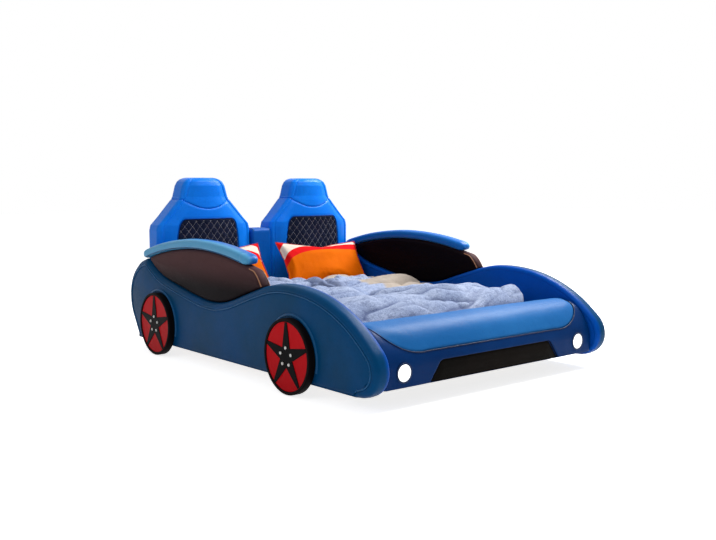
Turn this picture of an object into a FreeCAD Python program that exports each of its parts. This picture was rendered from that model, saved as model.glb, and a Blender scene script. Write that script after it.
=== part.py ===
import FreeCAD, Part
import math
import os
import re

# A child's bed shaped like a car. Millimetres; +X is across, the foot of the bed is -Y, the floor is z = 0.
os.makedirs("parts", exist_ok=True)
doc = FreeCAD.newDocument("CarBed")

SIZES = {
    # room round the mattress, and the middle of its bay
    "SideClearance": 10,
    "BayClearance": 14,
    "BayMiddleY": 49,
    # how far a cutting shape reaches past what it cuts, and the gap left beside soft pieces
    "Overcut": 10,
    "SoftGap": 0.4,
    # side panels: a padded shell round a plywood board
    "PanelThickness": 90,
    "PanelBottom": 66,
    "OuterEdgeRound": 32,
    "InnerEdgeRound": 24,
    "CoreThickness": 18,
    "CoreCover": 16,
    "CoreInset": 45,
    # outline of a side panel, by its named points
    "RearFootY": 119,
    "RearMostY": 237,
    "RearMostZ": 325,
    "HaunchY": 142,
    "HaunchZ": 508,
    "RidgeRearY": 67,
    "RidgeFrontY": 22,
    "TipY": -37,
    "TipDrop": 25.3,
    "SlopeY": 443,
    "SlopeZ": 404,
    "ValleyY": 190,
    "ValleyZ": 374,
    "RiseY": -60,
    "RiseZ": 421,
    "CowlY": -300,
    "CowlZ": 497,
    "FenderCrestY": 345,
    "FenderCrestZ": 530,
    "BonnetY": 5,
    "BonnetZ": 474,
    "BrowY": -205,
    "BrowZ": 362,
    "NoseY": -335,
    "NoseZ": 190,
    "ChinY": -195,
    # roof rail: a bow over the window, whose underside is one arc
    "RailCrownLead": 61.5,
    "RailCrownZ": 657,
    "RailRadius": 2250,
    "RailHeight": 52,
    "RailRearY": 42,
    "RailFrontY": -172,
    "RailRound": 22,
    # window panel: fills the space between panel and rail
    "WindowThickness": 70,
    "WindowRound": 18,
    "WindowJoinLead": 8,
    "WindowShoulderLead": 64,
    "WindowShoulderDrop": 4,
    # wheels
    "WheelRadius": 187,
    "WheelDepth": 45,
    "WheelRimWidth": 16,
    "WheelRecess": 8,
    "WheelRound": 5,
    "WheelFaceThickness": 3,
    "WheelLift": 3,
    "FrontWheelY": 279,
    "RearWheelY": -185,
    "StarThickness": 3,
    "StarGap": 3,
    "SpokeCount": 5,
    "StarTipHalfWidth": 9,
    "StarNotchRadius": 60,
    "NutCircle": 44.3,
    "NutRadius": 6.5,
    "NutHeight": 6,
    # bumper across the foot
    "BumperFit": 2,
    "BumperBottom": 100,
    "BumperFrontY": -285,
    "BumperBackY": 0,
    "BumperBrowY": -217,
    "BumperBrowZ": 322,
    "BumperChinZ": 180,
    "BumperCrestY": -80,
    "BumperCrestZ": 371,
    "BumperNapeZ": 310,
    "SeamZ": 251,
    "SeamFlatHalf": -280,
    "SeamSideHalf": -95,
    "SeamSideZ": 296,
    "SeamEndHalf": -16,
    "CushionEndRound": 12,
    "BoardThickness": 18,
    "FacePadThickness": 38,
    "BumperCoreHalf": -60,
    "BumperCoreTopZ": 246,
    # grille insert
    "GrilleTopHalf": -355,
    "GrilleBottomHalf": -282,
    "GrilleTopZ": 199,
    "GrilleCorner": 40,
    "GrilleThickness": 28,
    "GrilleRecess": 4,
    # headlamps
    "LampHalfSpacing": -119,
    "LampZ": 168,
    "LampRadius": 40,
    "LampRimWidth": 8,
    "LampRimDepth": 6,
    "LampWall": 5,
    "LampDepth": 58,
    "LensThickness": 4,
    "LedRadius": 22,
    "LedThickness": 4,
    "BatteryLength": 140,
    "BatteryWidth": 70,
    "BatteryHeight": 40,
    # switch for the lamps, on the left panel's inner face
    "SwitchY": 345,
    "SwitchZ": 450,
    "SwitchBodyRadius": 11,
    "SwitchBodyDepth": 14,
    "SwitchFlangeRadius": 15,
    "SwitchFlangeDepth": 3,
    "SwitchWall": 1.7,
    "ButtonRadius": 8,
    "ButtonProud": 4,
    "ButtonTravel": 3,
    "ButtonClearance": 0.3,
    # seat backs of the headboard
    "SeatFit": 3,
    "BlockSpace": 79,
    "SeatFrontY": 0,
    "SeatThickness": 125,
    "SeatBottom": 170,
    "ShoulderZ": -315,
    "NeckZ": -135,
    "NeckHalfWidth": 180,
    "HeadHalfWidth": 150,
    "HeadTopZ": 1067,
    "SeatCrown": 53,
    "SeatEdgeRound": 30,
    "SeatSwell": 70,
    "HeadSeamHalf": 165,
    "HeadSeamEndZ": -137,
    "HeadSeamLowZ": -198,
    # quilted insert
    "QuiltTopHalf": 205,
    "QuiltMiddleHalf": 226,
    "QuiltTopZ": -260,
    "QuiltMiddleZ": -457,
    "QuiltBottomZ": 400,
    "QuiltBottomHalf": 175,
    "QuiltCorner": 45,
    "QuiltShoulderHalf": 208,
    "QuiltBackY": -11,
    "DiamondWidth": 50,
    "DiamondHeight": 62,
    "ChannelWidth": 2.5,
    "ChannelDepth": 3,
    # headboard's boards and centre block
    "SeatBoardInset": 22,
    "CrossBoardBottom": 70,
    "CrossBoardTop": 520,
    "BlockFrontY": -11,
    "BlockTopZ": -339,
    "BlockRound": 18,
    # bed base
    "LedgeSide": 40,
    "LedgeTop": 145,
    "SlatThickness": 20,
    "SlatWidth": 70,
    "SlatCount": 14,
    "SlatMargin": 25,
    "SlatFit": 3,
    "BeamWidth": 40,
    "BeamHeight": 60,
    "LegRadius": 20,
    "LegGap": 700,
    "GlideHeight": 6,
    "GlideRadius": 24,
    "FootSide": 60,
    "FootBehindWheel": 80,
    "BracketSide": 50,
    "BracketHeight": 32,
    "BracketThickness": 4,
    "BracketGap": 2,
    "ScrewRadius": 3,
    "ScrewHeadRadius": 6,
    "ScrewHeadHeight": 2.5,
    "ScrewGrip": 14,
    "LedgeScrewCount": 5,
    # bedding
    "MattressWidth": 1500,
    "MattressLength": 1800,
    "MattressThickness": 160,
    "MattressRound": 30,
    "DuvetHalfWidth": -22,
    "DuvetFootY": 50,
    "DuvetHeadY": -308,
    "DuvetThickness": 36,
    "DuvetFold": 11,
    "DuvetDip": 5,
    "DuvetFolds": 8,
    "PillowWidth": -80,
    "PillowHeight": 360,
    "PillowThickness": 130,
    "PillowPinch": 16,
    "PillowEdge": 8,
    "PillowOut": 25,
    "PillowTopY": -79,
    "PillowLean": 57,
}

sheet = doc.addObject("Spreadsheet::Sheet", "Sizes")
for row, (name, value) in enumerate(SIZES.items(), 1):
    sheet.set(f"A{row}", name)
    sheet.set(f"B{row}", str(value))
    sheet.setAlias(f"B{row}", name)
doc.recompute()

# values that follow from others
FOLLOWS = {
    "InnerHalfWidth": "MattressWidth / 2 + SideClearance",
    "HeadY": "BayMiddleY + MattressLength / 2 + BayClearance",
    "FootY": "BayMiddleY - MattressLength / 2 - BayClearance",
    "SeatHalfWidth": "(InnerHalfWidth - SeatFit - BlockSpace) / 2",
    "SeatSpacing": "BlockSpace + SeatHalfWidth",
    "PillowSpacing": "InnerHalfWidth / 2 + PillowOut",
}
# sizes in the sheet that are counted from one of those values, or from the top of the seats
TIED = {
    "HeadY": ("SeatFrontY", "RearFootY", "RearMostY", "HaunchY", "RidgeRearY", "RidgeFrontY", "TipY",
              "RailRearY", "RearWheelY", "QuiltBackY", "BlockFrontY", "PillowTopY", "DuvetHeadY"),
    "FootY": ("BumperBackY", "FenderCrestY", "BonnetY", "BrowY", "NoseY", "ChinY", "FrontWheelY",
              "BumperFrontY", "BumperBrowY", "BumperCrestY", "DuvetFootY", "SwitchY"),
    "InnerHalfWidth": ("SeamFlatHalf", "SeamSideHalf", "SeamEndHalf", "BumperCoreHalf",
                       "GrilleTopHalf", "GrilleBottomHalf", "LampHalfSpacing", "DuvetHalfWidth",
                       "PillowWidth"),
    "HeadTopZ": ("NeckZ", "HeadSeamEndZ", "HeadSeamLowZ", "ShoulderZ", "QuiltTopZ", "QuiltMiddleZ",
                 "BlockTopZ"),
}
# places that follow from those
WINDOW_FOLLOWS = {
    "RailCrownY": "(RailRearY + RailFrontY) / 2 - RailCrownLead",
    "WindowJoinY": "RailFrontY - WindowJoinLead",
    "WindowShoulderY": "CowlY + WindowShoulderLead",
}
placed = doc.addObject("App::VarSet", "Placed")


def bound(text):
    """The text with each of its words as a cell of the sheet, or as a value that follows from cells."""
    known = placed.PropertiesList
    return re.sub(r"(?<!\.)\b([A-Z]\w+)\b",
                  lambda found: ("Placed." if found[1] in known else "Sizes.") + found[1], str(text))


def follow(name, text):
    formula = bound(text)
    placed.addProperty("App::PropertyFloat", name)
    placed.setExpression(name, formula)


for name, text in FOLLOWS.items():
    follow(name, text)
for base, names in TIED.items():
    for name in names:
        follow(name, f"{base} + {name}")
for name, text in WINDOW_FOLLOWS.items():
    follow(name, text)
doc.recompute()
d = {name: float(sheet.get(name)) for name in SIZES}
d.update({name: getattr(placed, name) for name in [*FOLLOWS, *sum(TIED.values(), ()), *WINDOW_FOLLOWS]})
BED_TOP = d["LedgeTop"] + d["SlatThickness"] + d["MattressThickness"]
SPOKE_STEP = 360 / d["SpokeCount"]
SIDES = {"left": -1, "right": 1}
UP = FreeCAD.Rotation()
ALONG_X = FreeCAD.Rotation(FreeCAD.Vector(0, 1, 0), 90)
ALONG_MINUS_Y = FreeCAD.Rotation(FreeCAD.Vector(1, 0, 0), 90)
HALF_TURN = FreeCAD.Rotation(FreeCAD.Vector(0, 0, 1), 180)
nodes = []
# levels in a quarter of a padded edge
ROUND_STEPS = 4


# ---- helpers -----------------------------------------------------------------------------------

def point(x, y, z=0.0):
    return FreeCAD.Vector(x, y, z)


def bind(thing, **expressions):
    for prop, text in expressions.items():
        thing.setExpression(prop, bound(text))


def place(thing, x=0, y=0, z=0, turn=UP):
    thing.Placement = FreeCAD.Placement(point(0, 0), turn)
    for axis, text in (("x", x), ("y", y), ("z", z)):
        thing.setExpression(f".Placement.Base.{axis}", bound(text))
    return thing


def node(thing, name):
    thing.Label = name
    nodes.append(thing)
    return thing


def box(name, at, sides):
    block = doc.addObject("Part::Box", name)
    bind(block, Length=sides[0], Width=sides[1], Height=sides[2])
    return place(block, *at)


def cylinder(name, radius, height, at, turn=UP):
    rod = doc.addObject("Part::Cylinder", name)
    bind(rod, Radius=radius, Height=height)
    return place(rod, *at, turn=turn)


def cut(name, base, *tools):
    tool = tools[0] if len(tools) == 1 else fuse(name + "_tools", tools)
    result = doc.addObject("Part::Cut", name)
    result.Base = base
    result.Tool = tool
    return result


def common(name, base, tool):
    result = doc.addObject("Part::Common", name)
    result.Base = base
    result.Tool = tool
    return result


def fuse(name, shapes):
    result = doc.addObject("Part::MultiFuse", name)
    result.Shapes = list(shapes)
    return result


def mirror(name, source, x):
    result = doc.addObject("Part::Mirroring", name)
    result.Source = source
    result.Normal = point(1, 0)
    result.setExpression(".Base.x", bound(x))
    return result


def group(name, shapes):
    result = doc.addObject("Part::Compound", name)
    result.Links = list(shapes)
    return result


def solid(name, shape):
    result = doc.addObject("Part::Feature", name)
    result.Shape = shape
    return result


def arc_from(start, heading, end):
    """An arc that leaves start along heading and ends at end, or a line where they are in line."""
    side = point(-heading.y, heading.x)
    chord = end - start
    lean = side.dot(chord)
    if abs(lean) < 1e-6 * chord.Length:
        return Part.LineSegment(start, end)
    centre = start + side * (chord.dot(chord) / (2 * lean))
    middle = (start - centre) + (end - centre)
    middle.normalize()
    return Part.Arc(start, centre + middle * (start - centre).Length, end)


def smooth(knots):
    """Pairs of tangent arcs through knots of (u, v, heading in degrees)."""
    curves = []
    for (u0, v0, a0), (u1, v1, a1) in zip(knots, knots[1:]):
        start, end = point(u0, v0), point(u1, v1)
        out = point(math.cos(math.radians(a0)), math.sin(math.radians(a0)))
        home = point(math.cos(math.radians(a1)), math.sin(math.radians(a1)))
        chord = end - start
        both = out + home
        bend = 2 * (1 - out.dot(home))
        if bend < 1e-9:
            reach = chord.dot(chord) / (2 * chord.dot(both))
        else:
            lean = chord.dot(both)
            reach = (math.sqrt(lean * lean + bend * chord.dot(chord)) - lean) / bend
        middle = (start + out * reach + end - home * reach) * 0.5
        back = arc_from(end, home * -1, middle)
        curves.append(arc_from(start, out, middle))
        if isinstance(back, Part.LineSegment):
            curves.append(Part.LineSegment(middle, end))
        else:
            curves.append(Part.Arc(middle, back.value(0.5 * (back.FirstParameter + back.LastParameter)), end))
    return curves


def closed(curves):
    """The curves, with straight lines over the gaps between their ends."""
    whole = []
    for curve, following in zip(curves, curves[1:] + curves[:1]):
        whole.append(curve)
        end = curve.value(curve.LastParameter)
        start = following.value(following.FirstParameter)
        if (end - start).Length > 1e-6:
            whole.append(Part.LineSegment(end, start))
    return whole


def polygon(points):
    corners = [point(*p) for p in points]
    return [Part.LineSegment(a, b) for a, b in zip(corners, corners[1:] + corners[:1])]


def rounded(points, radii):
    """A polygon whose corners are rounded by the radius beside each of them."""
    corners = [point(*p) for p in points]
    curves = []
    count = len(corners)
    for index, (corner, radius) in enumerate(zip(corners, radii)):
        before = corners[index - 1] - corner
        after = corners[(index + 1) % count] - corner
        if radius <= 0:
            curves.append((corner, corner, None))
            continue
        half = before.getAngle(after) / 2
        reach = radius / math.tan(half)
        before.normalize()
        after.normalize()
        axis = before + after
        axis.normalize()
        middle = corner + axis * (radius / math.sin(half) - radius)
        start, end = corner + before * reach, corner + after * reach
        curves.append((start, end, Part.Arc(start, middle, end)))
    whole = []
    for index, (start, end, arc) in enumerate(curves):
        if arc:
            whole.append(arc)
        whole.append(Part.LineSegment(end, curves[(index + 1) % count][0]))
    return whole


def body(name):
    return doc.addObject("PartDesign::Body", name)


def plane(owner, role):
    return next(feature for feature in owner.Origin.OriginFeatures if feature.Role == role)


def sketch(owner, role, curves, offset=None):
    drawn = owner.newObject("Sketcher::SketchObject", owner.Name + "_sketch")
    drawn.AttachmentSupport = [(plane(owner, role), "")]
    drawn.MapMode = "FlatFace"
    if offset is not None:
        drawn.setExpression(".AttachmentOffset.Base.z", bound(offset))
    for curve in curves:
        drawn.addGeometry(curve, False)
    return drawn


def pad(owner, drawn, length, reversed_way=False):
    feature = owner.newObject("PartDesign::Pad", owner.Name + "_pad")
    feature.Profile = drawn
    feature.Reversed = reversed_way
    bind(feature, Length=length)
    drawn.Visibility = False
    doc.recompute()
    owner.Tip = feature
    return feature


def pocket(owner, drawn, depth):
    before = owner.Shape.Volume
    feature = owner.newObject("PartDesign::Pocket", owner.Name + "_pocket")
    feature.Profile = drawn
    bind(feature, Length=depth)
    doc.recompute()
    owner.Tip = feature
    if not feature.Shape.Volume < before - 1:
        raise RuntimeError(f"the pocket of {owner.Name} cuts nothing")
    return feature


def fillet(owner, radius, chosen):
    base = owner.Tip
    edges = [f"Edge{i}" for i, edge in enumerate(base.Shape.Edges, 1) if chosen(edge)]
    feature = owner.newObject("PartDesign::Fillet", owner.Name + "_round")
    feature.Base = (base, edges)
    bind(feature, Radius=radius)
    doc.recompute()
    owner.Tip = feature
    return feature


def between(edge, axis, value):
    """Whether the whole edge lies in the plane where the axis has the value."""
    bounds = edge.BoundBox
    low, high = getattr(bounds, axis + "Min"), getattr(bounds, axis + "Max")
    return abs(low - value) < 0.01 and abs(high - value) < 0.01


# ---- side panels, windows and roof rails -------------------------------------------------------

def rail_knot(y):
    """A knot on the rail's underside, heading forwards."""
    across = y - d["RailCrownY"]
    drop = d["RailRadius"] - math.sqrt(d["RailRadius"] ** 2 - across ** 2)
    return (y, d["RailCrownZ"] - drop, 180 - math.degrees(math.asin(across / d["RailRadius"])))


def under_rail(y, drop):
    """The height that is a drop below the rail's underside."""
    return rail_knot(y)[1] - drop


REAR = [
    (d["RearFootY"], d["PanelBottom"], 58),
    (d["RearMostY"], d["RearMostZ"], 90),
    (d["HaunchY"], d["HaunchZ"], 144),
    rail_knot(d["RidgeRearY"]),
    rail_knot(d["RidgeFrontY"]),
]
SILL = [
    (d["TipY"], under_rail(d["TipY"], d["TipDrop"]), 216),
    (d["SlopeY"], d["SlopeZ"], 191),
    (d["ValleyY"], d["ValleyZ"], 180),
    (d["RiseY"], d["RiseZ"], 161),
    (d["CowlY"], d["CowlZ"], 164),
]
BONNET = [
    (d["FenderCrestY"], d["FenderCrestZ"], 180),
    (d["BonnetY"], d["BonnetZ"], 200),
    (d["BrowY"], d["BrowZ"], 217),
    (d["NoseY"], d["NoseZ"], 270),
    (d["ChinY"], d["PanelBottom"], 360),
]
PANEL_KNOTS = REAR + SILL + BONNET


def backwards(knots):
    return [(y, z, heading + 180) for y, z, heading in reversed(knots)]


def inward(knots, inset):
    """The knots moved to the left of their headings, which is the inside of an outline."""
    moved = []
    for y, z, heading in knots:
        angle = math.radians(heading + 90)
        moved.append((y + inset * math.cos(angle), z + inset * math.sin(angle), heading))
    return moved


def mitred(y, z, arriving, leaving, inset):
    """The place of an outline's corner once both of its sides move inwards."""
    first, second = math.radians(arriving + 90), math.radians(leaving + 90)
    share = inset / (1 + math.cos(first - second))
    return (y + share * (math.cos(first) + math.cos(second)),
            z + share * (math.sin(first) + math.sin(second)))


def panel_runs(inset):
    """The side panel's outline; its flat bottom stays where it is."""
    first, last = PANEL_KNOTS[0], PANEL_KNOTS[-1]
    slide = inset / math.sin(math.radians(first[2]))
    return [[(first[0] - slide, first[1], first[2])] + inward(PANEL_KNOTS[1:-1], inset) + [last]]


def window_runs(inset):
    """The window's outline: along the rail, down the front, then back along the sill."""
    top = backwards([
        (d["CowlY"], d["CowlZ"], 60),
        (d["WindowShoulderY"], under_rail(d["WindowShoulderY"], d["WindowShoulderDrop"]), 38),
        *((*rail_knot(y)[:2], rail_knot(y)[2] - 180)
          for y in (d["WindowJoinY"], d["RailCrownY"], d["TipY"])),
    ])
    sill = backwards(SILL)
    front = mitred(*top[-1][:2], top[-1][2], sill[0][2], inset)
    rear_low = mitred(*sill[-1][:2], sill[-1][2], 90, inset)
    rear_top = mitred(*top[0][:2], 90, top[0][2], inset)
    return [
        [(*rear_top, top[0][2])] + inward(top[1:-1], inset) + [(*front, top[-1][2])],
        [(*front, sill[0][2])] + inward(sill[1:-1], inset) + [(*rear_low, sill[-1][2])],
    ]


def padded_form(runs_at, thickness, near_round, far_round):
    """A plate on the YZ plane whose edges are rounded, by a ruled loft through its inset outlines."""
    levels = []
    for step in range(ROUND_STEPS + 1):
        angle = math.radians(90 * step / ROUND_STEPS)
        levels.append((near_round * (1 - math.cos(angle)), near_round * (1 - math.sin(angle))))
    for step in range(ROUND_STEPS, -1, -1):
        angle = math.radians(90 * step / ROUND_STEPS)
        levels.append((thickness - far_round * (1 - math.cos(angle)), far_round * (1 - math.sin(angle))))
    wires = []
    for x, inset in levels:
        curves = [curve for run in runs_at(inset) for curve in smooth(run)]
        wire = Part.Wire(Part.sortEdges([curve.toShape() for curve in closed(curves)])[0])
        wires.append(upright(wire, x))
    return Part.makeLoft(wires, True, True)


def upright(wire, x):
    """A wire drawn in a plan of (y, z), stood up on the YZ plane at x."""
    stood = wire.copy()
    stood.Placement = FreeCAD.Placement(point(x, 0), FreeCAD.Rotation(point(1, 1, 1), 120))
    return stood


def core_outline():
    """The board's outline: the panel's, a steady inset away from its padded edges."""
    (knots,) = panel_runs(d["CoreInset"])
    end = (knots[-1][0] + d["CoreInset"], knots[-1][1])
    return [knot[:2] for knot in knots[:-1]] + [end]


ledge_screws = []
for side, sign in SIDES.items():
    for index in range(int(d["LedgeScrewCount"])):
        step = f"BumperBackY + (SeatFrontY - BumperBackY) * {index + 0.5} / LedgeScrewCount"
        height = "LedgeTop - LedgeSide / 2"
        grip = "LedgeSide + CoreCover + ScrewGrip"
        near = "-InnerHalfWidth - CoreCover - ScrewGrip" if sign < 0 else "InnerHalfWidth - LedgeSide"
        shank = cylinder(f"{side}_shank_{index}", "ScrewRadius", grip, (near, step, height), ALONG_X)
        end = "-InnerHalfWidth + LedgeSide" if sign < 0 else "InnerHalfWidth - LedgeSide - ScrewHeadHeight"
        head = cylinder(f"{side}_head_{index}", "ScrewHeadRadius", "ScrewHeadHeight",
                        (end, step, height), ALONG_X)
        ledge_screws.append(fuse(f"{side}_ledge_screw_{index}", (shank, head)))
screws = node(group("ledge_screw_set", ledge_screws), "ledge_screws")

switch_recess = cylinder("switch_recess", "SwitchBodyRadius", "SwitchBodyDepth",
                         ("-InnerHalfWidth - SwitchBodyDepth", "SwitchY", "SwitchZ"), ALONG_X)

base_x = "-InnerHalfWidth - PanelThickness"
shell = place(solid("left_shell", padded_form(panel_runs, d["PanelThickness"], d["OuterEdgeRound"],
                                               d["InnerEdgeRound"])), x=base_x)

board = place(body("left_board"), x="-InnerHalfWidth - CoreCover - CoreThickness")
pad(board, sketch(board, "YZ_Plane", polygon(core_outline())), "CoreThickness")

window = place(solid("left_window", padded_form(window_runs, d["WindowThickness"], d["WindowRound"],
                                                d["WindowRound"])),
               x=f"{base_x} + (PanelThickness - WindowThickness) / 2")

rail = body("left_rail")
low, high = d["RailRadius"], d["RailRadius"] + d["RailHeight"]
section = polygon([(0, low), (d["PanelThickness"], low), (d["PanelThickness"], high), (0, high)])
drawn = sketch(rail, "XZ_Plane", section)
turned = rail.newObject("PartDesign::Revolution", "rail_bow")
turned.Profile = drawn
turned.ReferenceAxis = (drawn, ["H_Axis"])
rear_angle, front_angle = (f"asin((Rail{end}Y - RailCrownY) / RailRadius)" for end in ("Rear", "Front"))
bind(turned, Angle=f"{rear_angle} - {front_angle}")
doc.recompute()
rail.Tip = turned
towards_front = turned.Shape.CenterOfMass.y < 0
fillet(rail, "RailRound", lambda edge: True)
start_y = d["RailRearY"] if towards_front else d["RailFrontY"]
start_tilt = math.degrees(math.asin((start_y - d["RailCrownY"]) / d["RailRadius"]))
place(rail, x=base_x, y="RailCrownY", z="RailCrownZ - RailRadius",
      turn=FreeCAD.Rotation(point(1, 0), -start_tilt))

left_pieces = {"shell": shell, "board": board, "window_panel": window, "roof_rail": rail}
for side, sign in SIDES.items():
    pieces = left_pieces
    if sign > 0:
        pieces = {name: mirror(f"right_{name}_form", piece, "0") for name, piece in left_pieces.items()}
    node(cut(f"{side}_core", pieces["board"], screws), f"{side}_side_core")
    tools = [pieces["board"], screws] + ([switch_recess] if sign < 0 else [])
    node(cut(f"{side}_padding", pieces["shell"], *tools), f"{side}_side_pad")
    node(pieces["window_panel"], f"{side}_window_panel")
    node(pieces["roof_rail"], f"{side}_roof_rail")


# ---- wheels ------------------------------------------------------------------------------------

def star_outline():
    """Spokes that taper to the rim; the first of them stands straight up."""
    tip = d["WheelRadius"] - d["WheelRimWidth"] - d["StarGap"]
    outline = []
    for spoke in range(int(d["SpokeCount"])):
        angle = math.radians(90 + SPOKE_STEP * spoke)
        along = point(math.cos(angle), math.sin(angle))
        across = point(-along.y, along.x)
        for half in (-d["StarTipHalfWidth"], d["StarTipHalfWidth"]):
            corner = along * tip + across * half
            outline.append((corner.x, corner.y))
        notch = angle + math.radians(SPOKE_STEP / 2)
        outline.append((d["StarNotchRadius"] * math.cos(notch), d["StarNotchRadius"] * math.sin(notch)))
    return outline


def circle(radius):
    return [Part.Circle(point(0, 0), point(0, 0, 1), radius)]


nuts = []
for side, sign in SIDES.items():
    outwards = HALF_TURN if sign < 0 else UP
    face_x = "-(InnerHalfWidth + PanelThickness)" if sign < 0 else "InnerHalfWidth + PanelThickness"
    way = "-" if sign < 0 else "+"
    for end, wheel_y in (("front", "FrontWheelY"), ("rear", "RearWheelY")):
        name = f"{side}_{end}_wheel"
        hub = "WheelRadius + WheelLift"
        tyre = place(body(name + "_disc"), face_x, wheel_y, hub, outwards)
        pad(tyre, sketch(tyre, "YZ_Plane", circle(d["WheelRadius"])), "WheelDepth")
        dish = circle(d["WheelRadius"] - d["WheelRimWidth"])
        pocket(tyre, sketch(tyre, "YZ_Plane", dish, "WheelDepth"), "WheelRecess")
        fillet(tyre, "WheelRound", lambda edge: between(edge, "X", d["WheelDepth"]))
        node(tyre, name + "_tyre")

        floor_x = f"{face_x} {way} (WheelDepth - WheelRecess)"
        face = body(name + "_red")
        place(face, floor_x, wheel_y, hub, outwards)
        pad(face, sketch(face, "YZ_Plane", dish), "WheelFaceThickness")
        node(face, name + "_face")

        star = body(name + "_spokes")
        place(star, f"{floor_x} {way} WheelFaceThickness", wheel_y, hub, outwards)
        pad(star, sketch(star, "YZ_Plane", polygon(star_outline())), "StarThickness")
        node(star, name + "_star")

        for index in range(int(d["SpokeCount"])):
            turn = 90 + SPOKE_STEP * index
            nuts.append(cylinder(
                f"{name}_nut_{index}", "NutRadius", "NutHeight",
                (f"{floor_x} {way} (WheelFaceThickness + StarThickness)",
                 f"{wheel_y} + NutCircle * cos({turn})",
                 f"{hub} + NutCircle * sin({turn})"),
                ALONG_X if sign > 0 else FreeCAD.Rotation(point(0, 1), -90)))
node(group("nut_set", nuts), "wheel_nuts")


# ---- bumper ------------------------------------------------------------------------------------

BUMPER_RUN = [
    (d["BumperFrontY"], d["BumperChinZ"], 90),
    (d["BumperBrowY"], d["BumperBrowZ"], 47),
    (d["BumperCrestY"], d["BumperCrestZ"], 0),
    (d["BumperBackY"], d["BumperNapeZ"], 270),
]
bumper_sill = [
    Part.LineSegment(point(d["BumperBackY"], d["BumperBottom"]), point(d["BumperFrontY"], d["BumperBottom"])),
]
BUMPER_HALF = "InnerHalfWidth - BumperFit"
roll = place(body("bumper_roll"), x=f"-({BUMPER_HALF})")
pad(roll, sketch(roll, "YZ_Plane", closed(smooth(BUMPER_RUN) + bumper_sill)), f"2 * ({BUMPER_HALF})")
roll_ends = (0.0, 2 * (d["InnerHalfWidth"] - d["BumperFit"]))
fillet(roll, "CushionEndRound",
       lambda edge: any(between(edge, "X", x) for x in roll_ends)
       and edge.BoundBox.ZMin > d["BumperChinZ"] - 0.01)

SEAM_TOP = d["BumperCrestZ"] + d["Overcut"]
seam_right = Part.Arc(point(d["SeamFlatHalf"], d["SeamZ"]), point(d["SeamSideHalf"], d["SeamSideZ"]),
                      point(d["SeamEndHalf"], d["BumperCrestZ"]))
seam_left = Part.Arc(point(-d["SeamEndHalf"], d["BumperCrestZ"]), point(-d["SeamSideHalf"], d["SeamSideZ"]),
                     point(-d["SeamFlatHalf"], d["SeamZ"]))
seam_lid = Part.LineSegment(point(d["SeamEndHalf"], SEAM_TOP), point(-d["SeamEndHalf"], SEAM_TOP))
lens_shape = place(body("cushion_region"), y="BumperBackY + Overcut")
pad(lens_shape, sketch(lens_shape, "XZ_Plane", closed([seam_left, seam_right, seam_lid])),
    "BumperBackY - BumperFrontY + 2 * Overcut")
node(common("cushion", roll, lens_shape), "bumper_cushion")

core_block = box("core_block", ("-BumperCoreHalf", "BumperFrontY + FacePadThickness", "BumperBottom"),
                 ("2 * BumperCoreHalf", "BumperBackY - BumperFrontY - FacePadThickness",
                  "BumperCoreTopZ - BumperBottom"))
core_space = box(
    "core_space",
    ("-BumperCoreHalf + BoardThickness", "BumperFrontY + FacePadThickness + BoardThickness",
     "BumperBottom + BoardThickness"),
    ("2 * (BumperCoreHalf - BoardThickness)",
     "BumperBackY - BumperFrontY - FacePadThickness - 2 * BoardThickness",
     "BumperCoreTopZ - BumperBottom - 2 * BoardThickness"))

grille_corners = [
    (-d["GrilleBottomHalf"], d["BumperBottom"]),
    (d["GrilleBottomHalf"], d["BumperBottom"]),
    (d["GrilleTopHalf"], d["GrilleTopZ"]),
    (-d["GrilleTopHalf"], d["GrilleTopZ"]),
]
grille_curves = rounded(grille_corners, (0, 0, d["GrilleCorner"], d["GrilleCorner"]))
grille = place(body("grille"), y="BumperFrontY + GrilleRecess + GrilleThickness")
pad(grille, sketch(grille, "XZ_Plane", grille_curves), "GrilleThickness")
node(grille, "grille_insert")
grille_space = place(body("grille_space"), y="BumperFrontY + GrilleRecess + GrilleThickness")
pad(grille_space, sketch(grille_space, "XZ_Plane", grille_curves), "GrilleThickness + 2 * GrilleRecess")

lamp_holes = []
for side, sign in SIDES.items():
    lamp_x = f"{sign} * LampHalfSpacing"
    cup_radius = "LampRadius + LampWall"
    name = f"{side}_lamp"
    hole = cylinder(name + "_hole", cup_radius, "LampDepth",
                    (lamp_x, "BumperFrontY + LampDepth", "LampZ"), ALONG_MINUS_Y)
    lamp_holes.append(hole)
    inside = cylinder(name + "_inside", "LampRadius", "LampDepth - LampWall",
                      (lamp_x, "BumperFrontY + LampDepth - LampWall", "LampZ"), ALONG_MINUS_Y)
    node(cut(name + "_shell", hole, inside), f"{side}_headlamp_cup")
    ring = cylinder(name + "_ring", "LampRadius + LampRimWidth", "LampRimDepth",
                    (lamp_x, "BumperFrontY", "LampZ"), ALONG_MINUS_Y)
    opening = cylinder(name + "_opening", "LampRadius", "LampRimDepth",
                       (lamp_x, "BumperFrontY", "LampZ"), ALONG_MINUS_Y)
    node(cut(name + "_bezel", ring, opening), f"{side}_headlamp_rim")
    lens = cylinder(name + "_glass", "LampRadius", "LensThickness",
                    (lamp_x, "BumperFrontY", "LampZ"), ALONG_MINUS_Y)
    node(lens, f"{side}_headlamp_lens")
    led = cylinder(name + "_disc", "LedRadius", "LedThickness",
                   (lamp_x, "BumperFrontY + LampDepth - LampWall", "LampZ"), ALONG_MINUS_Y)
    node(led, f"{side}_headlamp_led")

node(cut("bumper_box", core_block, core_space, *lamp_holes), "bumper_core")
node(cut("bumper_padding", roll, lens_shape, core_block, grille_space, *lamp_holes), "bumper_face")
battery = box("battery", ("-BatteryLength / 2", "BumperBackY - BoardThickness - 2 * BatteryWidth",
                          "BumperBottom + BoardThickness"),
              ("BatteryLength", "BatteryWidth", "BatteryHeight"))
node(battery, "battery_box")


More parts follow.
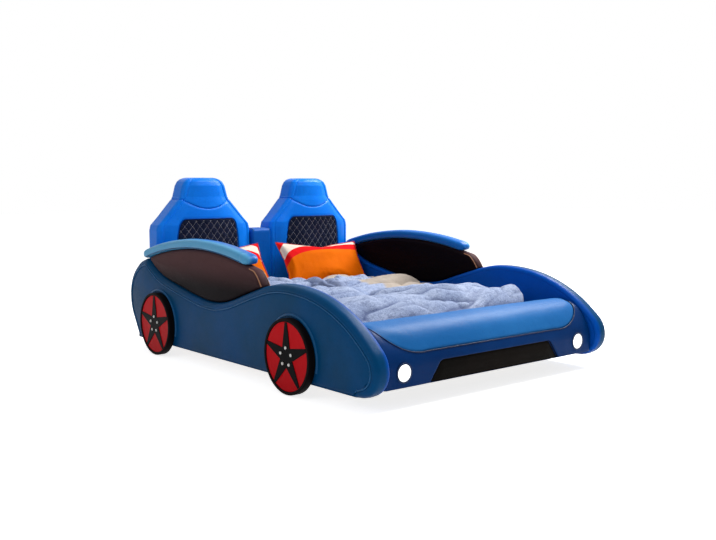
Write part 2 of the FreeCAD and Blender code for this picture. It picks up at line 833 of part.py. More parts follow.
# ---- lamp switch -------------------------------------------------------------------------------

flange = cylinder("switch_flange", "SwitchFlangeRadius", "SwitchFlangeDepth",
                  ("-InnerHalfWidth", "SwitchY", "SwitchZ"), ALONG_X)
bore = cylinder("switch_bore", "ButtonRadius + ButtonClearance",
                "SwitchBodyDepth + SwitchFlangeDepth - SwitchWall",
                ("-InnerHalfWidth - SwitchBodyDepth + SwitchWall", "SwitchY", "SwitchZ"), ALONG_X)
node(cut("switch_shell", fuse("switch_block", (switch_recess, flange)), bore), "switch_housing")
button_back = "-InnerHalfWidth - SwitchBodyDepth + SwitchWall + ButtonTravel + ButtonClearance"
button = cylinder(
    "button", "ButtonRadius",
    "SwitchBodyDepth + SwitchFlangeDepth - SwitchWall - ButtonTravel - ButtonClearance + ButtonProud",
    (button_back, "SwitchY", "SwitchZ"), ALONG_X)
node(button, "switch_button")


# ---- headboard: two seat backs and the block between them --------------------------------------

def seat_sections():
    """Level sections of a seat back: height, half-width, crown of the front, set-back of the front."""
    wide, neck, head = d["SeatHalfWidth"], d["NeckHalfWidth"], d["HeadHalfWidth"]
    crown, top, shoulder = d["SeatCrown"], d["HeadTopZ"], d["ShoulderZ"]
    swell = d["SeatSwell"]
    slope = (wide - neck) / (d["NeckZ"] - shoulder)
    soft = d["SeatEdgeRound"] / 2
    return [
        (d["SeatBottom"], wide, 0, 0),
        (BED_TOP, wide, 0, 0),
        (BED_TOP + swell / 2, wide, crown * 0.75, 0),
        (BED_TOP + swell, wide, crown, 0),
        (shoulder - 2 * soft, wide, crown, 0),
        (shoulder + soft, wide - soft, crown * 0.95, 0),
        (shoulder + 4 * soft, wide - 4 * soft * slope, crown * 0.8, 0),
        (d["NeckZ"] - soft, neck + soft * slope, crown * 0.55, 0),
        (d["NeckZ"] + soft, neck - soft / 2, crown * 0.45, 0),
        (top - 3 * soft, head, crown * 0.4, 0),
        (top - 1.5 * soft, head - soft, crown * 0.3, soft / 3),
        (top - soft / 2, head - 2 * soft, crown * 0.2, soft),
        (top, head - 4 * soft, crown * 0.1, 2 * soft),
    ]


def seat_section(height, half, crown, setback):
    edge = d["SeatEdgeRound"]
    front, back = d["SeatFrontY"] + setback, d["SeatFrontY"] + d["SeatThickness"]
    depth = math.sin(math.radians(45)) * edge
    inset = edge - depth
    corner_y = front + edge
    left_low, right_low = point(-half, back, height), point(half, back, height)
    right_side, left_side = point(half, corner_y, height), point(-half, corner_y, height)
    right_front, left_front = point(half - edge, front, height), point(edge - half, front, height)
    return Part.Wire([
        Part.LineSegment(left_low, right_low).toShape(),
        Part.LineSegment(right_low, right_side).toShape(),
        Part.Arc(right_side, point(half - inset, front + inset, height), right_front).toShape(),
        (Part.Arc(right_front, point(0, front - crown, height), left_front) if crown
         else Part.LineSegment(right_front, left_front)).toShape(),
        Part.Arc(left_front, point(inset - half, front + inset, height), left_side).toShape(),
        Part.LineSegment(left_side, left_low).toShape(),
    ])


def board_outline():
    inset = d["SeatBoardInset"]
    half = d["SeatHalfWidth"] - inset
    neck = d["NeckHalfWidth"] - inset
    head = d["HeadHalfWidth"] - inset
    right = [
        (half, d["SeatBottom"]),
        (half, d["ShoulderZ"] - inset / 2),
        (neck, d["NeckZ"] - inset / 2),
        (head, d["HeadTopZ"] - 2 * inset),
        (head - inset, d["HeadTopZ"] - inset),
    ]
    return right + [(-x, z) for x, z in reversed(right)]


def quilt_outline():
    corner = d["QuiltCorner"]
    low = (d["QuiltBottomHalf"], d["QuiltBottomZ"])
    middle = (d["QuiltMiddleHalf"], d["QuiltMiddleZ"])
    shoulder = (d["QuiltShoulderHalf"], d["QuiltTopZ"] - corner)
    top = (d["QuiltTopHalf"] - corner, d["QuiltTopZ"])
    right = smooth([(*low, 60), (*middle, 90), (*shoulder, 104), (*top, 180)])
    left = smooth([(-top[0], top[1], 180), (-shoulder[0], shoulder[1], 256), (-middle[0], middle[1], 270),
                   (-low[0], low[1], 300)])
    return closed(right + left)


def crowned(setback, low, high):
    """A block whose front is the seat's crown, set back by a steady depth."""
    half, crown = d["SeatHalfWidth"] - d["SeatEdgeRound"], d["SeatCrown"]
    radius = (half ** 2 + crown ** 2) / (2 * crown)
    axis = point(0, d["SeatFrontY"] - crown + radius, low)
    block = Part.makeBox(2 * half, d["QuiltBackY"] - d["SeatFrontY"] + crown, high - low,
                         point(-half, d["SeatFrontY"] - crown, low))
    return Part.makeCylinder(radius - setback, high - low, axis).common(block)


def quilted(outline):
    """The insert, crowned like the seat, with sewn channels along both diagonals of its diamonds."""
    half, low, high = d["QuiltMiddleHalf"], d["QuiltBottomZ"], d["QuiltTopZ"]
    wide, tall = d["DiamondWidth"], d["DiamondHeight"]
    angle = math.degrees(math.atan2(tall, wide))
    reach = half + (high - low) / 2 * wide / tall
    length = 2 * reach / math.cos(math.radians(angle))
    depth = d["QuiltBackY"] - d["SeatFrontY"] + d["SeatCrown"]
    count = int(reach / wide)
    insert = crowned(0, low, high).common(outline)
    ground = crowned(d["ChannelDepth"], low - 1, high + 1)
    for tilt in (angle, -angle):
        slots = []
        for index in range(-count, count + 1):
            slot = Part.makeBox(length, depth, d["ChannelWidth"],
                                point(-length / 2, 0, -d["ChannelWidth"] / 2))
            slot.Placement = FreeCAD.Placement(
                point(index * wide, d["SeatFrontY"] - d["SeatCrown"], (low + high) / 2),
                FreeCAD.Rotation(point(0, 1), -tilt))
            slots.append(slot.cut(ground))
        insert = insert.cut(Part.makeCompound(slots))
    return insert


cross_front = "SeatFrontY + SeatThickness + BoardThickness"
quilt = None
for side, sign in SIDES.items():
    seat_x = f"{sign} * SeatSpacing"
    sections = [seat_section(*row) for row in seat_sections()]
    cushion = place(solid(f"{side}_seat_form", Part.makeLoft(sections, True, True)), x=seat_x)

    seam = Part.Arc(point(-d["HeadSeamHalf"], d["HeadSeamEndZ"]), point(0, d["HeadSeamLowZ"]),
                    point(d["HeadSeamHalf"], d["HeadSeamEndZ"]))
    wide_half, over = d["SeatHalfWidth"], d["HeadTopZ"] + d["Overcut"]
    rim = [
        Part.LineSegment(point(wide_half, d["HeadSeamEndZ"]), point(wide_half, over)),
        Part.LineSegment(point(-wide_half, over), point(-wide_half, d["HeadSeamEndZ"])),
    ]
    head_region = place(body(f"{side}_head_region"), x=seat_x, y="SeatFrontY + SeatThickness + Overcut")
    pad(head_region, sketch(head_region, "XZ_Plane", closed([seam] + rim)),
        "SeatThickness + SeatCrown + 2 * Overcut")
    node(common(f"{side}_headrest", cushion, head_region), f"{side}_headrest_pad")

    quilt_region = place(body(f"{side}_quilt_region"), x=seat_x, y="QuiltBackY")
    pad(quilt_region, sketch(quilt_region, "XZ_Plane", quilt_outline()), "SeatCrown + 2 * Overcut")
    node(cut(f"{side}_seat_body", cushion, head_region, quilt_region), f"{side}_seat_pad")
    doc.recompute()

    if quilt is None:
        quilt = quilted(quilt_region.Shape.translated(point(-sign * d["SeatSpacing"], 0)))
    insert = place(solid(f"{side}_quilt", quilt), x=seat_x)
    node(insert, f"{side}_seat_quilt")

    board = place(body(f"{side}_seat_plate"), x=seat_x, y=cross_front)
    pad(board, sketch(board, "XZ_Plane", polygon(board_outline())), "BoardThickness")
    node(board, f"{side}_seat_board")

cross_board = box("cross", ("-InnerHalfWidth + BumperFit", cross_front, "CrossBoardBottom"),
                  ("2 * (InnerHalfWidth - BumperFit)", "BoardThickness", "CrossBoardTop - CrossBoardBottom"))
node(cross_board, "cross_board")

block = place(body("block"), x="-(SeatSpacing - SeatHalfWidth - SoftGap)", y="BlockFrontY", z="SeatBottom")
block_width = 2 * (d["SeatSpacing"] - d["SeatHalfWidth"] - d["SoftGap"])
block_depth = d["SeatFrontY"] + d["SeatThickness"] - d["BlockFrontY"]
block_plan = polygon([(0, 0), (block_width, 0), (block_width, block_depth), (0, block_depth)])
pad(block, sketch(block, "XY_Plane", block_plan), "BlockTopZ - SeatBottom")
block_rise = d["BlockTopZ"] - d["SeatBottom"]
fillet(block, "BlockRound",
       lambda edge: (between(edge, "Y", 0) and edge.BoundBox.ZMax > 1) or between(edge, "Z", block_rise))
node(block, "centre_block")


# ---- bed base ----------------------------------------------------------------------------------

base_length = f"{cross_front} - BumperBackY"
for side, sign in SIDES.items():
    ledge_x = "-InnerHalfWidth" if sign < 0 else "InnerHalfWidth - LedgeSide"
    ledge = box(f"{side}_ledge_bar", (ledge_x, "BumperBackY", "LedgeTop - LedgeSide"),
                ("LedgeSide", base_length, "LedgeSide"))
    node(cut(f"{side}_drilled_ledge", ledge, screws), f"{side}_ledge")

node(box("beam", ("-BeamWidth / 2", "BumperBackY", "LedgeTop - BeamHeight"),
         ("BeamWidth", base_length, "BeamHeight")), "centre_beam")

slats = []
for index in range(int(d["SlatCount"])):
    bay = "(SeatFrontY - BumperBackY - 2 * SlatMargin) / SlatCount"
    at_y = f"BumperBackY + SlatMargin + {bay} * {index + 0.5} - SlatWidth / 2"
    slats.append(box(f"slat_{index}", ("-InnerHalfWidth + SlatFit", at_y, "LedgeTop"),
                     ("2 * (InnerHalfWidth - SlatFit)", "SlatWidth", "SlatThickness")))
node(group("slat_set", slats), "slats")

legs, glides = [], []
middle_y = "(SeatFrontY + BumperBackY) / 2"
for index, sign in enumerate((-1, 1)):
    leg_y = f"{middle_y} + {sign} * LegGap / 2"
    legs.append(cylinder(f"leg_{index}", "LegRadius", "LedgeTop - BeamHeight - GlideHeight",
                         (0, leg_y, "GlideHeight")))
    glides.append(cylinder(f"glide_{index}", "GlideRadius", "GlideHeight", (0, leg_y, 0)))
node(group("leg_set", legs), "centre_legs")
node(group("glide_set", glides), "leg_glides")

feet = []
for side, sign in SIDES.items():
    foot_x = f"{sign} * (InnerHalfWidth + PanelThickness / 2) - FootSide / 2"
    for wheel_y in ("FrontWheelY", "RearWheelY"):
        foot_y = f"{wheel_y} + FootBehindWheel - FootSide / 2"
        feet.append(box(f"{side}_{wheel_y}_foot", (foot_x, foot_y, 0),
                        ("FootSide", "FootSide", "PanelBottom")))
node(group("foot_set", feet), "side_feet")

brackets = []
for side, sign in SIDES.items():
    wall_x = "-InnerHalfWidth" if sign < 0 else "InnerHalfWidth - BracketThickness"
    plate_x = "-InnerHalfWidth" if sign < 0 else "InnerHalfWidth - BracketSide"
    foot_z, head_z = "LedgeTop + BracketGap", "LedgeTop - LedgeSide - BracketGap - BracketHeight"
    head_y = f"{cross_front} - BoardThickness"
    for end, wall_y, plate_y, bracket_z in (
            ("foot", "BumperBackY", "BumperBackY", foot_z),
            ("head", f"{head_y} - BracketSide", f"{head_y} - BracketThickness", head_z)):
        wall = box(f"{side}_{end}_wall", (wall_x, wall_y, bracket_z),
                   ("BracketThickness", "BracketSide", "BracketHeight"))
        plate = box(f"{side}_{end}_plate", (plate_x, plate_y, bracket_z),
                    ("BracketSide", "BracketThickness", "BracketHeight"))
        brackets.append(fuse(f"{side}_{end}_bracket", (wall, plate)))
node(group("bracket_set", brackets), "corner_brackets")


# ---- bedding -----------------------------------------------------------------------------------

mattress = body("mattress_body")
place(mattress, x="-MattressWidth / 2", y=f"{middle_y} - MattressLength / 2", z="LedgeTop + SlatThickness")
mattress_plan = polygon([
    (0, 0), (d["MattressWidth"], 0), (d["MattressWidth"], d["MattressLength"]), (0, d["MattressLength"])])
pad(mattress, sketch(mattress, "XY_Plane", mattress_plan), "MattressThickness")
fillet(mattress, "MattressRound", lambda edge: True)
node(mattress, "mattress")

# how the folds' shift changes from fold to fold, in radians
FOLD_DRIFT = 2.1


def duvet_section(x, thickness, shift):
    """A section along the bed: a flat underside, and rounded folds on top that shift from row to row."""
    foot, head = d["DuvetFootY"], d["DuvetHeadY"]
    low = BED_TOP + d["SoftGap"]
    high = low + thickness
    count = int(d["DuvetFolds"])
    step = (head - foot) / count
    marks = [foot + step * (index + shift * math.sin(FOLD_DRIFT * index)) for index in range(1, count)]
    marks = [foot] + marks + [head]
    edges = [Part.LineSegment(point(x, foot, low), point(x, head, low)).toShape(),
             Part.LineSegment(point(x, head, low), point(x, head, high)).toShape()]
    for index in range(count, 0, -1):
        start, end = marks[index], marks[index - 1]
        rise = d["DuvetFold"] if index % 2 else -d["DuvetDip"]
        edges.append(Part.Arc(point(x, start, high), point(x, (start + end) / 2, high + rise),
                              point(x, end, high)).toShape())
    edges.append(Part.LineSegment(point(x, foot, high), point(x, foot, low)).toShape())
    return Part.Wire(edges)


half = d["DuvetHalfWidth"]
# rows across the bed: place, share of the thickness, shift of the folds
duvet_rows = [(-1.0, 0.6, 0.1), (-0.92, 0.95, 0.1), (-0.4, 1.05, -0.2), (0.1, 0.95, 0.25), (0.6, 1.1, -0.1),
              (0.92, 0.95, 0.2), (1.0, 0.6, 0.2)]
duvet_wires = [duvet_section(half * across, d["DuvetThickness"] * share, shift)
               for across, share, shift in duvet_rows]
node(solid("duvet_form", Part.makeLoft(duvet_wires, True, True)), "duvet")


def pillow_section(x, height, thickness):
    """A lens across the pillow: two arcs that meet at the upper and lower seams."""
    low, high = point(x, 0, -height / 2), point(x, 0, height / 2)
    return Part.Wire([
        Part.Arc(low, point(x, -thickness / 2, 0), high).toShape(),
        Part.Arc(high, point(x, thickness / 2, 0), low).toShape(),
    ])


lean = FreeCAD.Rotation(point(1, 0), d["PillowLean"] - 90)
centre_y = d["PillowTopY"] - d["PillowHeight"] / 2 * math.cos(math.radians(d["PillowLean"]))
centre_z = BED_TOP + d["SoftGap"] + d["PillowHeight"] / 2 * math.sin(math.radians(d["PillowLean"]))
for side, sign in SIDES.items():
    lenses = []
    for across in (-1.0, -0.93, -0.75, -0.4, 0.0, 0.4, 0.75, 0.93, 1.0):
        drawn_in = d["PillowPinch"] * 2 * (1 - across ** 2)
        fill = (1 - abs(across) ** 2.6) ** 0.8
        lenses.append(pillow_section(
            across * d["PillowWidth"] / 2, d["PillowHeight"] - drawn_in,
            d["PillowEdge"] + (d["PillowThickness"] - d["PillowEdge"]) * fill))
    pillow = solid(f"{side}_pillow_form", Part.makeLoft(lenses, True, True))
    pillow.Placement = FreeCAD.Placement(point(sign * d["PillowSpacing"], centre_y, centre_z), lean)
    node(pillow, f"{side}_pillow")


# ---- check and export --------------------------------------------------------------------------

doc.recompute()
for thing in doc.Objects:
    if "Invalid" in thing.State or "Error" in thing.State:
        raise RuntimeError(f"{thing.Label} failed: {thing.State}")
for thing in nodes:
    shape = thing.Shape
    if shape.isNull() or not shape.isValid() or not shape.Solids:
        raise RuntimeError(f"{thing.Label} has no valid solid")
for thing in nodes:
    thing.Shape.exportStep(f"parts/{thing.Label}.step")
    bounds = thing.Shape.BoundBox
    print(f"{thing.Label}: {bounds.XLength:.1f} x {bounds.YLength:.1f} x {bounds.ZLength:.1f} mm, "
          f"{len(thing.Shape.Solids)} solids, {thing.Shape.Volume / 1000:.1f} cm3")
print(len(nodes), "nodes")
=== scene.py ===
import bmesh
import bpy
import math
import numpy as np
from mathutils import Matrix, Vector, noise


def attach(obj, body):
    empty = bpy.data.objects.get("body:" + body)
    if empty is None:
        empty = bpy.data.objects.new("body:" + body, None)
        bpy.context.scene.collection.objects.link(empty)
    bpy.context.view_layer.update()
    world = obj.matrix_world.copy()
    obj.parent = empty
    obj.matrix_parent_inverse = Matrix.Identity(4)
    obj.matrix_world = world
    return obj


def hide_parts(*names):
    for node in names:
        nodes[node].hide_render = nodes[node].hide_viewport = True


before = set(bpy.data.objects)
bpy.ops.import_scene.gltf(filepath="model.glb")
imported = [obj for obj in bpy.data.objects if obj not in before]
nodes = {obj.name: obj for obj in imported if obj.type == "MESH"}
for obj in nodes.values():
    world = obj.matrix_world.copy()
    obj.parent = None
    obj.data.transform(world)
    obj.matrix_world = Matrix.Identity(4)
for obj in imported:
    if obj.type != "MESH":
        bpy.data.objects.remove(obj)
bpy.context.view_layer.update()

bodyName = "bed"
bothSides = (("left", -1), ("right", 1))
mm = 0.001
weld = 1e-6


# geometry helpers; a profile or outline is an array of (y, z) in metres

def arcPoints(start, heading, end, step):
    # points after start on the arc that leaves it along heading and reaches end
    side = np.array([-heading[1], heading[0]])
    chord = end - start
    lean = side @ chord
    length = np.linalg.norm(chord)
    if abs(lean) < weld * length:
        count = max(1, round(length / step))
        return start + chord * np.linspace(0, 1, count + 1)[1:, None]
    centre = start + side * (chord @ chord) / (2 * lean)
    first = math.atan2(*(start - centre)[::-1])
    turn = math.atan2(*(end - centre)[::-1]) - first
    turn = turn % math.tau if lean > 0 else -((-turn) % math.tau)
    radius = np.linalg.norm(start - centre)
    count = max(1, round(abs(turn) * radius / step))
    angles = first + turn * np.linspace(0, 1, count + 1)[1:]
    return centre + radius * np.stack([np.cos(angles), np.sin(angles)], 1)


def headingOf(degrees):
    return np.array([math.cos(math.radians(degrees)), math.sin(math.radians(degrees))])


def runPoints(knots, step=0.004):
    # pairs of tangent arcs through knots of (y, z in mm, heading in degrees)
    points = [np.array(knots[0][:2]) * mm]
    for (y0, z0, a0), (y1, z1, a1) in zip(knots, knots[1:]):
        start, end = np.array([y0, z0]) * mm, np.array([y1, z1]) * mm
        out, home = headingOf(a0), headingOf(a1)
        chord = end - start
        bend = 2 * (1 - out @ home)
        lean = chord @ (out + home)
        if bend < 1e-9:
            reach = (chord @ chord) / (2 * lean)
        else:
            reach = (math.sqrt(lean * lean + bend * (chord @ chord)) - lean) / bend
        first, second = start + out * reach, end - home * reach
        middle = (first + second) / 2
        points.extend(arcPoints(start, out, middle, step))
        points.extend(arcPoints(middle, (second - first) / np.linalg.norm(second - first), end, step))
    return np.array(points)


def alongLength(points):
    steps = np.linalg.norm(np.diff(points, axis=0), axis=1)
    return np.concatenate([[0], np.cumsum(steps)])


def resample(points, count):
    # count points, evenly spaced
    length = alongLength(points)
    at = np.linspace(0, length[-1], count)
    return np.stack([np.interp(at, length, points[:, k]) for k in range(points.shape[1])], 1)


def byY(points, ys):
    # heights of a run at the given y, whichever way the run goes
    order = np.argsort(points[:, 0])
    return np.interp(ys, points[order, 0], points[order, 1])


def closedLine(line):
    return np.concatenate([line, line[:1]])


def nearest(points, line):
    # distance of each point from a polyline
    best = np.full(len(points), np.inf)
    for a, b in zip(line, line[1:]):
        ab = b - a
        t = np.clip(((points - a) @ ab) / max(ab @ ab, 1e-12), 0, 1)
        best = np.minimum(best, np.linalg.norm(points - a - t[:, None] * ab, axis=1))
    return best


def insideOf(points, line):
    # whether points lie in a closed outline
    x, y = points[:, 0], points[:, 1]
    inside = np.zeros(len(points), bool)
    for (x0, y0), (x1, y1) in zip(line, np.roll(line, -1, 0)):
        crosses = (y0 > y) != (y1 > y)
        inside ^= crosses & (x < (x1 - x0) * (y - y0) / (y1 - y0 + 1e-15) + x0)
    return inside


def coonsPatch(bottom, top, left, right):
    # bottom and top run from left to right; left and right run from bottom to top
    u = np.linspace(0, 1, len(bottom))[None, :, None]
    v = np.linspace(0, 1, len(left))[:, None, None]
    flat = (1 - v) * bottom[None] + v * top[None] + (1 - u) * left[:, None] + u * right[:, None]
    return flat - ((1 - u) * (1 - v) * bottom[0] + u * (1 - v) * bottom[-1]
                   + (1 - u) * v * top[0] + u * v * top[-1])


def smoothStep(values, low, high):
    t = np.clip((values - low) / (high - low), 0, 1)
    return t * t * (3 - 2 * t)


def ripple(points, size, height, seed):
    # soft waviness: one value of smooth noise for each point
    shift = Vector((seed * 7.31, seed * 3.17, seed * 1.93))
    return np.array([noise.noise(Vector(p) / size + shift) for p in points]) * height


def gridFaces(rows, columns, wrap=False, start=0):
    across = columns if wrap else columns - 1
    i, j = np.meshgrid(np.arange(rows - 1), np.arange(across), indexing="ij")
    a = start + i * columns + j
    b = start + i * columns + (j + 1) % columns
    return np.stack([a, b, b + columns, a + columns], -1).reshape(-1, 4).tolist()


def borderOf(rows, columns):
    # the outer vertices of a grid, once round
    return (list(range(columns)) + [r * columns + columns - 1 for r in range(1, rows)]
            + [(rows - 1) * columns + c for c in range(columns - 2, -1, -1)]
            + [r * columns for r in range(rows - 2, 0, -1)])


def slabFaces(rows, columns):
    # two grids, one after the other, joined all round
    count = rows * columns
    loop = borderOf(rows, columns)
    band = [[a, b, b + count, a + count] for a, b in zip(loop, loop[1:] + loop[:1])]
    return gridFaces(rows, columns) + gridFaces(rows, columns, start=count) + band


def linkPiece(name, mesh, paint=None, smooth=True):
    if paint is not None:
        mesh.materials.append(paint)
    mesh.polygons.foreach_set("use_smooth", [smooth] * len(mesh.polygons))
    piece = bpy.data.objects.new(name, mesh)
    bpy.context.scene.collection.objects.link(piece)
    return piece


def makePiece(name, verts, faces, paint, outwards=True):
    mesh = bpy.data.meshes.new(name)
    mesh.from_pydata(np.asarray(verts, float).tolist(), [], [tuple(f) for f in faces])
    built = bmesh.new()
    built.from_mesh(mesh)
    bmesh.ops.remove_doubles(built, verts=built.verts, dist=weld)
    bmesh.ops.dissolve_degenerate(built, edges=built.edges, dist=weld / 10)
    if outwards:
        bmesh.ops.recalc_face_normals(built, faces=built.faces)
    built.to_mesh(mesh)
    built.free()
    return linkPiece(name, mesh, paint)


def keepShape(piece):
    # the evaluated mesh takes the place of the modifiers
    evaluated = piece.evaluated_get(bpy.context.evaluated_depsgraph_get())
    mesh = bpy.data.meshes.new_from_object(evaluated)
    piece.modifiers.clear()
    piece.data = mesh
    mesh.polygons.foreach_set("use_smooth", [True] * len(mesh.polygons))
    return piece


def tube(path, radius, sides=8, closed=False):
    # a round cord along a path, with its ends closed
    path = np.asarray(path, float)
    if closed:
        tangents = np.roll(path, -1, 0) - np.roll(path, 1, 0)
    else:
        tangents = np.gradient(path, axis=0)
    tangents /= np.linalg.norm(tangents, axis=1)[:, None]
    across = np.cross(tangents[0], [0.0, 0.0, 1.0])
    if np.linalg.norm(across) < 0.1:
        across = np.cross(tangents[0], [1.0, 0.0, 0.0])
    verts = []
    for p, t in zip(path, tangents):
        across = across - t * (across @ t)
        across /= np.linalg.norm(across)
        other = np.cross(t, across)
        for k in range(sides):
            a = math.tau * k / sides
            verts.append(p + radius * (math.cos(a) * across + math.sin(a) * other))
    faces = gridFaces(len(path), sides, wrap=True)
    last = (len(path) - 1) * sides
    if closed:
        faces += [[last + k, last + (k + 1) % sides, (k + 1) % sides, k] for k in range(sides)]
    else:
        faces += [list(range(sides))[::-1], [last + k for k in range(sides)]]
    return verts, faces


def cordPiece(name, runs, paint, mirror=1):
    # round cords in one piece; a run holds what tube takes
    verts, faces = [], []
    for run in runs:
        start = len(verts)
        more, moreFaces = tube(*run)
        verts.extend(more)
        faces.extend([start + k for k in face] for face in moreFaces)
    return makePiece(name, np.array(verts) * [mirror, 1, 1], faces, paint)


def dress(piece, replaced=None):
    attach(piece, bodyName)
    if replaced:
        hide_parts(replaced)


# materials and geometry trees: a socket whose maths is written as Python

class Signal:
    def __init__(self, net, socket):
        self.net = net
        self.socket = socket

    def calc(self, operation, *others):
        return self.net.add("ShaderNodeMath", {"operation": operation}, dict(enumerate((self, *others))))

    def __add__(self, other):
        return self.calc("ADD", other)

    def __rsub__(self, other):
        return self.calc("MULTIPLY", -1).calc("ADD", other)

    def __mul__(self, other):
        return self.calc("MULTIPLY", other)

    __radd__ = __add__
    __rmul__ = __mul__

    def between(self, low, high):
        return self.net.add("ShaderNodeMapRange", {"interpolation_type": "SMOOTHSTEP"},
                            {"Value": self, "From Min": low, "From Max": high}, "Result")

    def sibling(self, name):
        # another output of the same node
        return Signal(self.net, self.socket.node.outputs[name])


class Net:
    def add(self, kind, settings=None, inputs=None, output=0):
        made = self.tree.nodes.new(kind)
        for key, value in (settings or {}).items():
            setattr(made, key, value)
        for key, value in (inputs or {}).items():
            socket = made.inputs[key]
            if isinstance(value, Signal):
                self.tree.links.new(value.socket, socket)
            elif isinstance(value, list):
                for each in value:
                    self.tree.links.new(each.socket, socket)
            elif socket.type == "RGBA" and len(value) == 3:
                socket.default_value = (*value, 1)
            else:
                socket.default_value = value
        return Signal(self, made.outputs[output] if len(made.outputs) else None)


class Paint(Net):
    def __init__(self, name, owner=None):
        self.owner = owner or bpy.data.materials.new(name)
        self.owner.use_nodes = True
        self.tree = self.owner.node_tree
        self.tree.nodes.clear()

    def place(self):
        return self.add("ShaderNodeTexCoord", output="Object")

    def axis(self, where, letter):
        return self.add("ShaderNodeSeparateXYZ", inputs={0: where}, output=letter)

    def noise(self, where, scale, detail=3, roughness=0.55):
        return self.add("ShaderNodeTexNoise", inputs={
            "Vector": where, "Scale": scale, "Detail": detail, "Roughness": roughness})

    def weave(self, where, scale, direction, distortion=0.0):
        return self.add("ShaderNodeTexWave", {"bands_direction": direction},
                        {"Vector": where, "Scale": scale, "Distortion": distortion})

    def stretch(self, where, scale):
        return self.add("ShaderNodeMapping", inputs={"Vector": where, "Scale": scale})

    def mix(self, share, first, second):
        return self.add("ShaderNodeMix", {"data_type": "RGBA"}, {0: share, 6: first, 7: second}, 2)

    def bump(self, height, distance, strength, under=None):
        inputs = {"Height": height, "Distance": distance, "Strength": strength}
        if under is not None:
            inputs["Normal"] = under
        return self.add("ShaderNodeBump", inputs=inputs)

    def seenRays(self):
        # 1 for the rays that see the background: the camera's, and those that are mirrored or pass through
        path = self.add("ShaderNodeLightPath", output="Is Camera Ray")
        mirrored = path.sibling("Is Glossy Ray").calc("MAXIMUM", path.sibling("Is Transmission Ray"))
        return path.calc("MAXIMUM", mirrored)

    def finish(self, colour, roughness, normal=None, **constants):
        inputs = {"Base Color": colour, "Roughness": roughness}
        if normal is not None:
            inputs["Normal"] = normal
        inputs.update({key.replace("_", " "): value for key, value in constants.items()})
        shader = self.add("ShaderNodeBsdfPrincipled", inputs=inputs, output="BSDF")
        self.add("ShaderNodeOutputMaterial", inputs={"Surface": shader})
        return self.owner


def linear(red, green, blue):
    # from the 0-255 values of a colour chart
    return tuple((v / 255 / 12.92) if v / 255 <= 0.04045 else ((v / 255 + 0.055) / 1.055) ** 2.4
                 for v in (red, green, blue))


def darker(colour, share):
    return tuple(c * share for c in colour)


leather = {"grain": 430, "grainDepth": 0.00016, "crease": 26, "creaseDepth": 0.0018, "cloud": 3.2, "fine": 60,
           "gloss": 0.33, "shine": 0.12, "outerFace": (0.768, 0.800), "rubbed": 0.35, "rubbedOutside": 0.12}


def leatherPaint(name, colour, worn, outerFaceLighting=None, fade=None, side=leather["outerFace"],
                 gloss=leather["gloss"], coat=0.01, shine=leather["shine"]):
    # smooth coated hide: pebbled grain, soft creases, a lighter tone where it is rubbed;
    # the outer faces' colour, past the two distances of side from the bed's middle, is painted light and
    # shade, darker or lighter as they look in their light; fade is a painted reflection that lightens them
    # with height
    paint = Paint(name)
    where = paint.place()
    cloud = paint.noise(where, leather["cloud"], 4)
    fine = paint.noise(where, leather["fine"], 5, 0.6)
    base, rubbed = colour, leather["rubbed"]
    # painted light and shade: past the two distances of side, the outer faces take their own darker or
    # lighter colour
    if outerFaceLighting is not None:
        outward = paint.axis(where, "X").calc("ABSOLUTE").between(*side)
        base, rubbed = paint.mix(outward, colour, outerFaceLighting), leather["rubbedOutside"]
    # painted reflection: fade makes the outer faces lighter towards the top
    if fade is not None:
        low, high, lighter = fade
        base = paint.mix(paint.axis(where, "Z").between(low, high) * outward, base, lighter)
    tone = paint.mix(cloud.between(0.35, 0.72) * rubbed, base, worn)
    tone = paint.mix(fine.between(0.5, 0.8) * 0.12, tone, (0, 0, 0))
    grain = paint.add("ShaderNodeTexVoronoi", {"feature": "DISTANCE_TO_EDGE"},
                      {"Vector": where, "Scale": leather["grain"]}).between(0.0, 0.22)
    crease = paint.noise(paint.stretch(where, (1, 1, 1.6)), leather["crease"], 5, 0.62)
    soft = paint.bump(crease, leather["creaseDepth"], 0.35)
    normal = paint.bump(grain, leather["grainDepth"], 0.55, soft)
    rough = fine * 0.14 + cloud * 0.08 + (gloss - 0.1)
    return paint.finish(tone, rough, normal, Coat_Weight=coat, Coat_Roughness=0.25, Specular_IOR_Level=shine)


plastic = {"cloud": 9, "fine": 420, "speckle": 0.05, "depth": 0.00012, "shine": 0.12}


def plasticPaint(name, colour, gloss, coat=0.0, shine=plastic["shine"]):
    paint = Paint(name)
    where = paint.place()
    cloud = paint.noise(where, plastic["cloud"], 4)
    fine = paint.noise(where, plastic["fine"], 3, 0.6)
    lighter = tuple(min(1, c * 1.6 + 0.03) for c in colour)
    tone = paint.mix(cloud.between(0.3, 0.8) * plastic["speckle"], colour, lighter)
    rough = fine * 0.12 + cloud * 0.08 + (gloss - 0.08)
    return paint.finish(tone, rough, paint.bump(fine, plastic["depth"], 0.5), Coat_Weight=coat,
                        Coat_Roughness=0.08, Specular_IOR_Level=shine)


wood = {"across": 42, "along": 2.2, "depth": 0.0006}


def woodPaint(name, light, dark, along):
    # straight-grained board; along is the axis that the grain follows
    paint = Paint(name)
    scale = tuple(wood["along"] if letter == along else wood["across"] for letter in "XYZ")
    where = paint.stretch(paint.place(), scale)
    grain = paint.noise(where, 1.0, 6, 0.62)
    rings = paint.noise(where, 0.35, 2, 0.5)
    tone = paint.mix(grain.between(0.35, 0.7), light, dark)
    tone = paint.mix(rings.between(0.45, 0.6) * 0.35, tone, dark)
    return paint.finish(tone, grain * 0.25 + 0.45, paint.bump(grain, wood["depth"], 0.4))


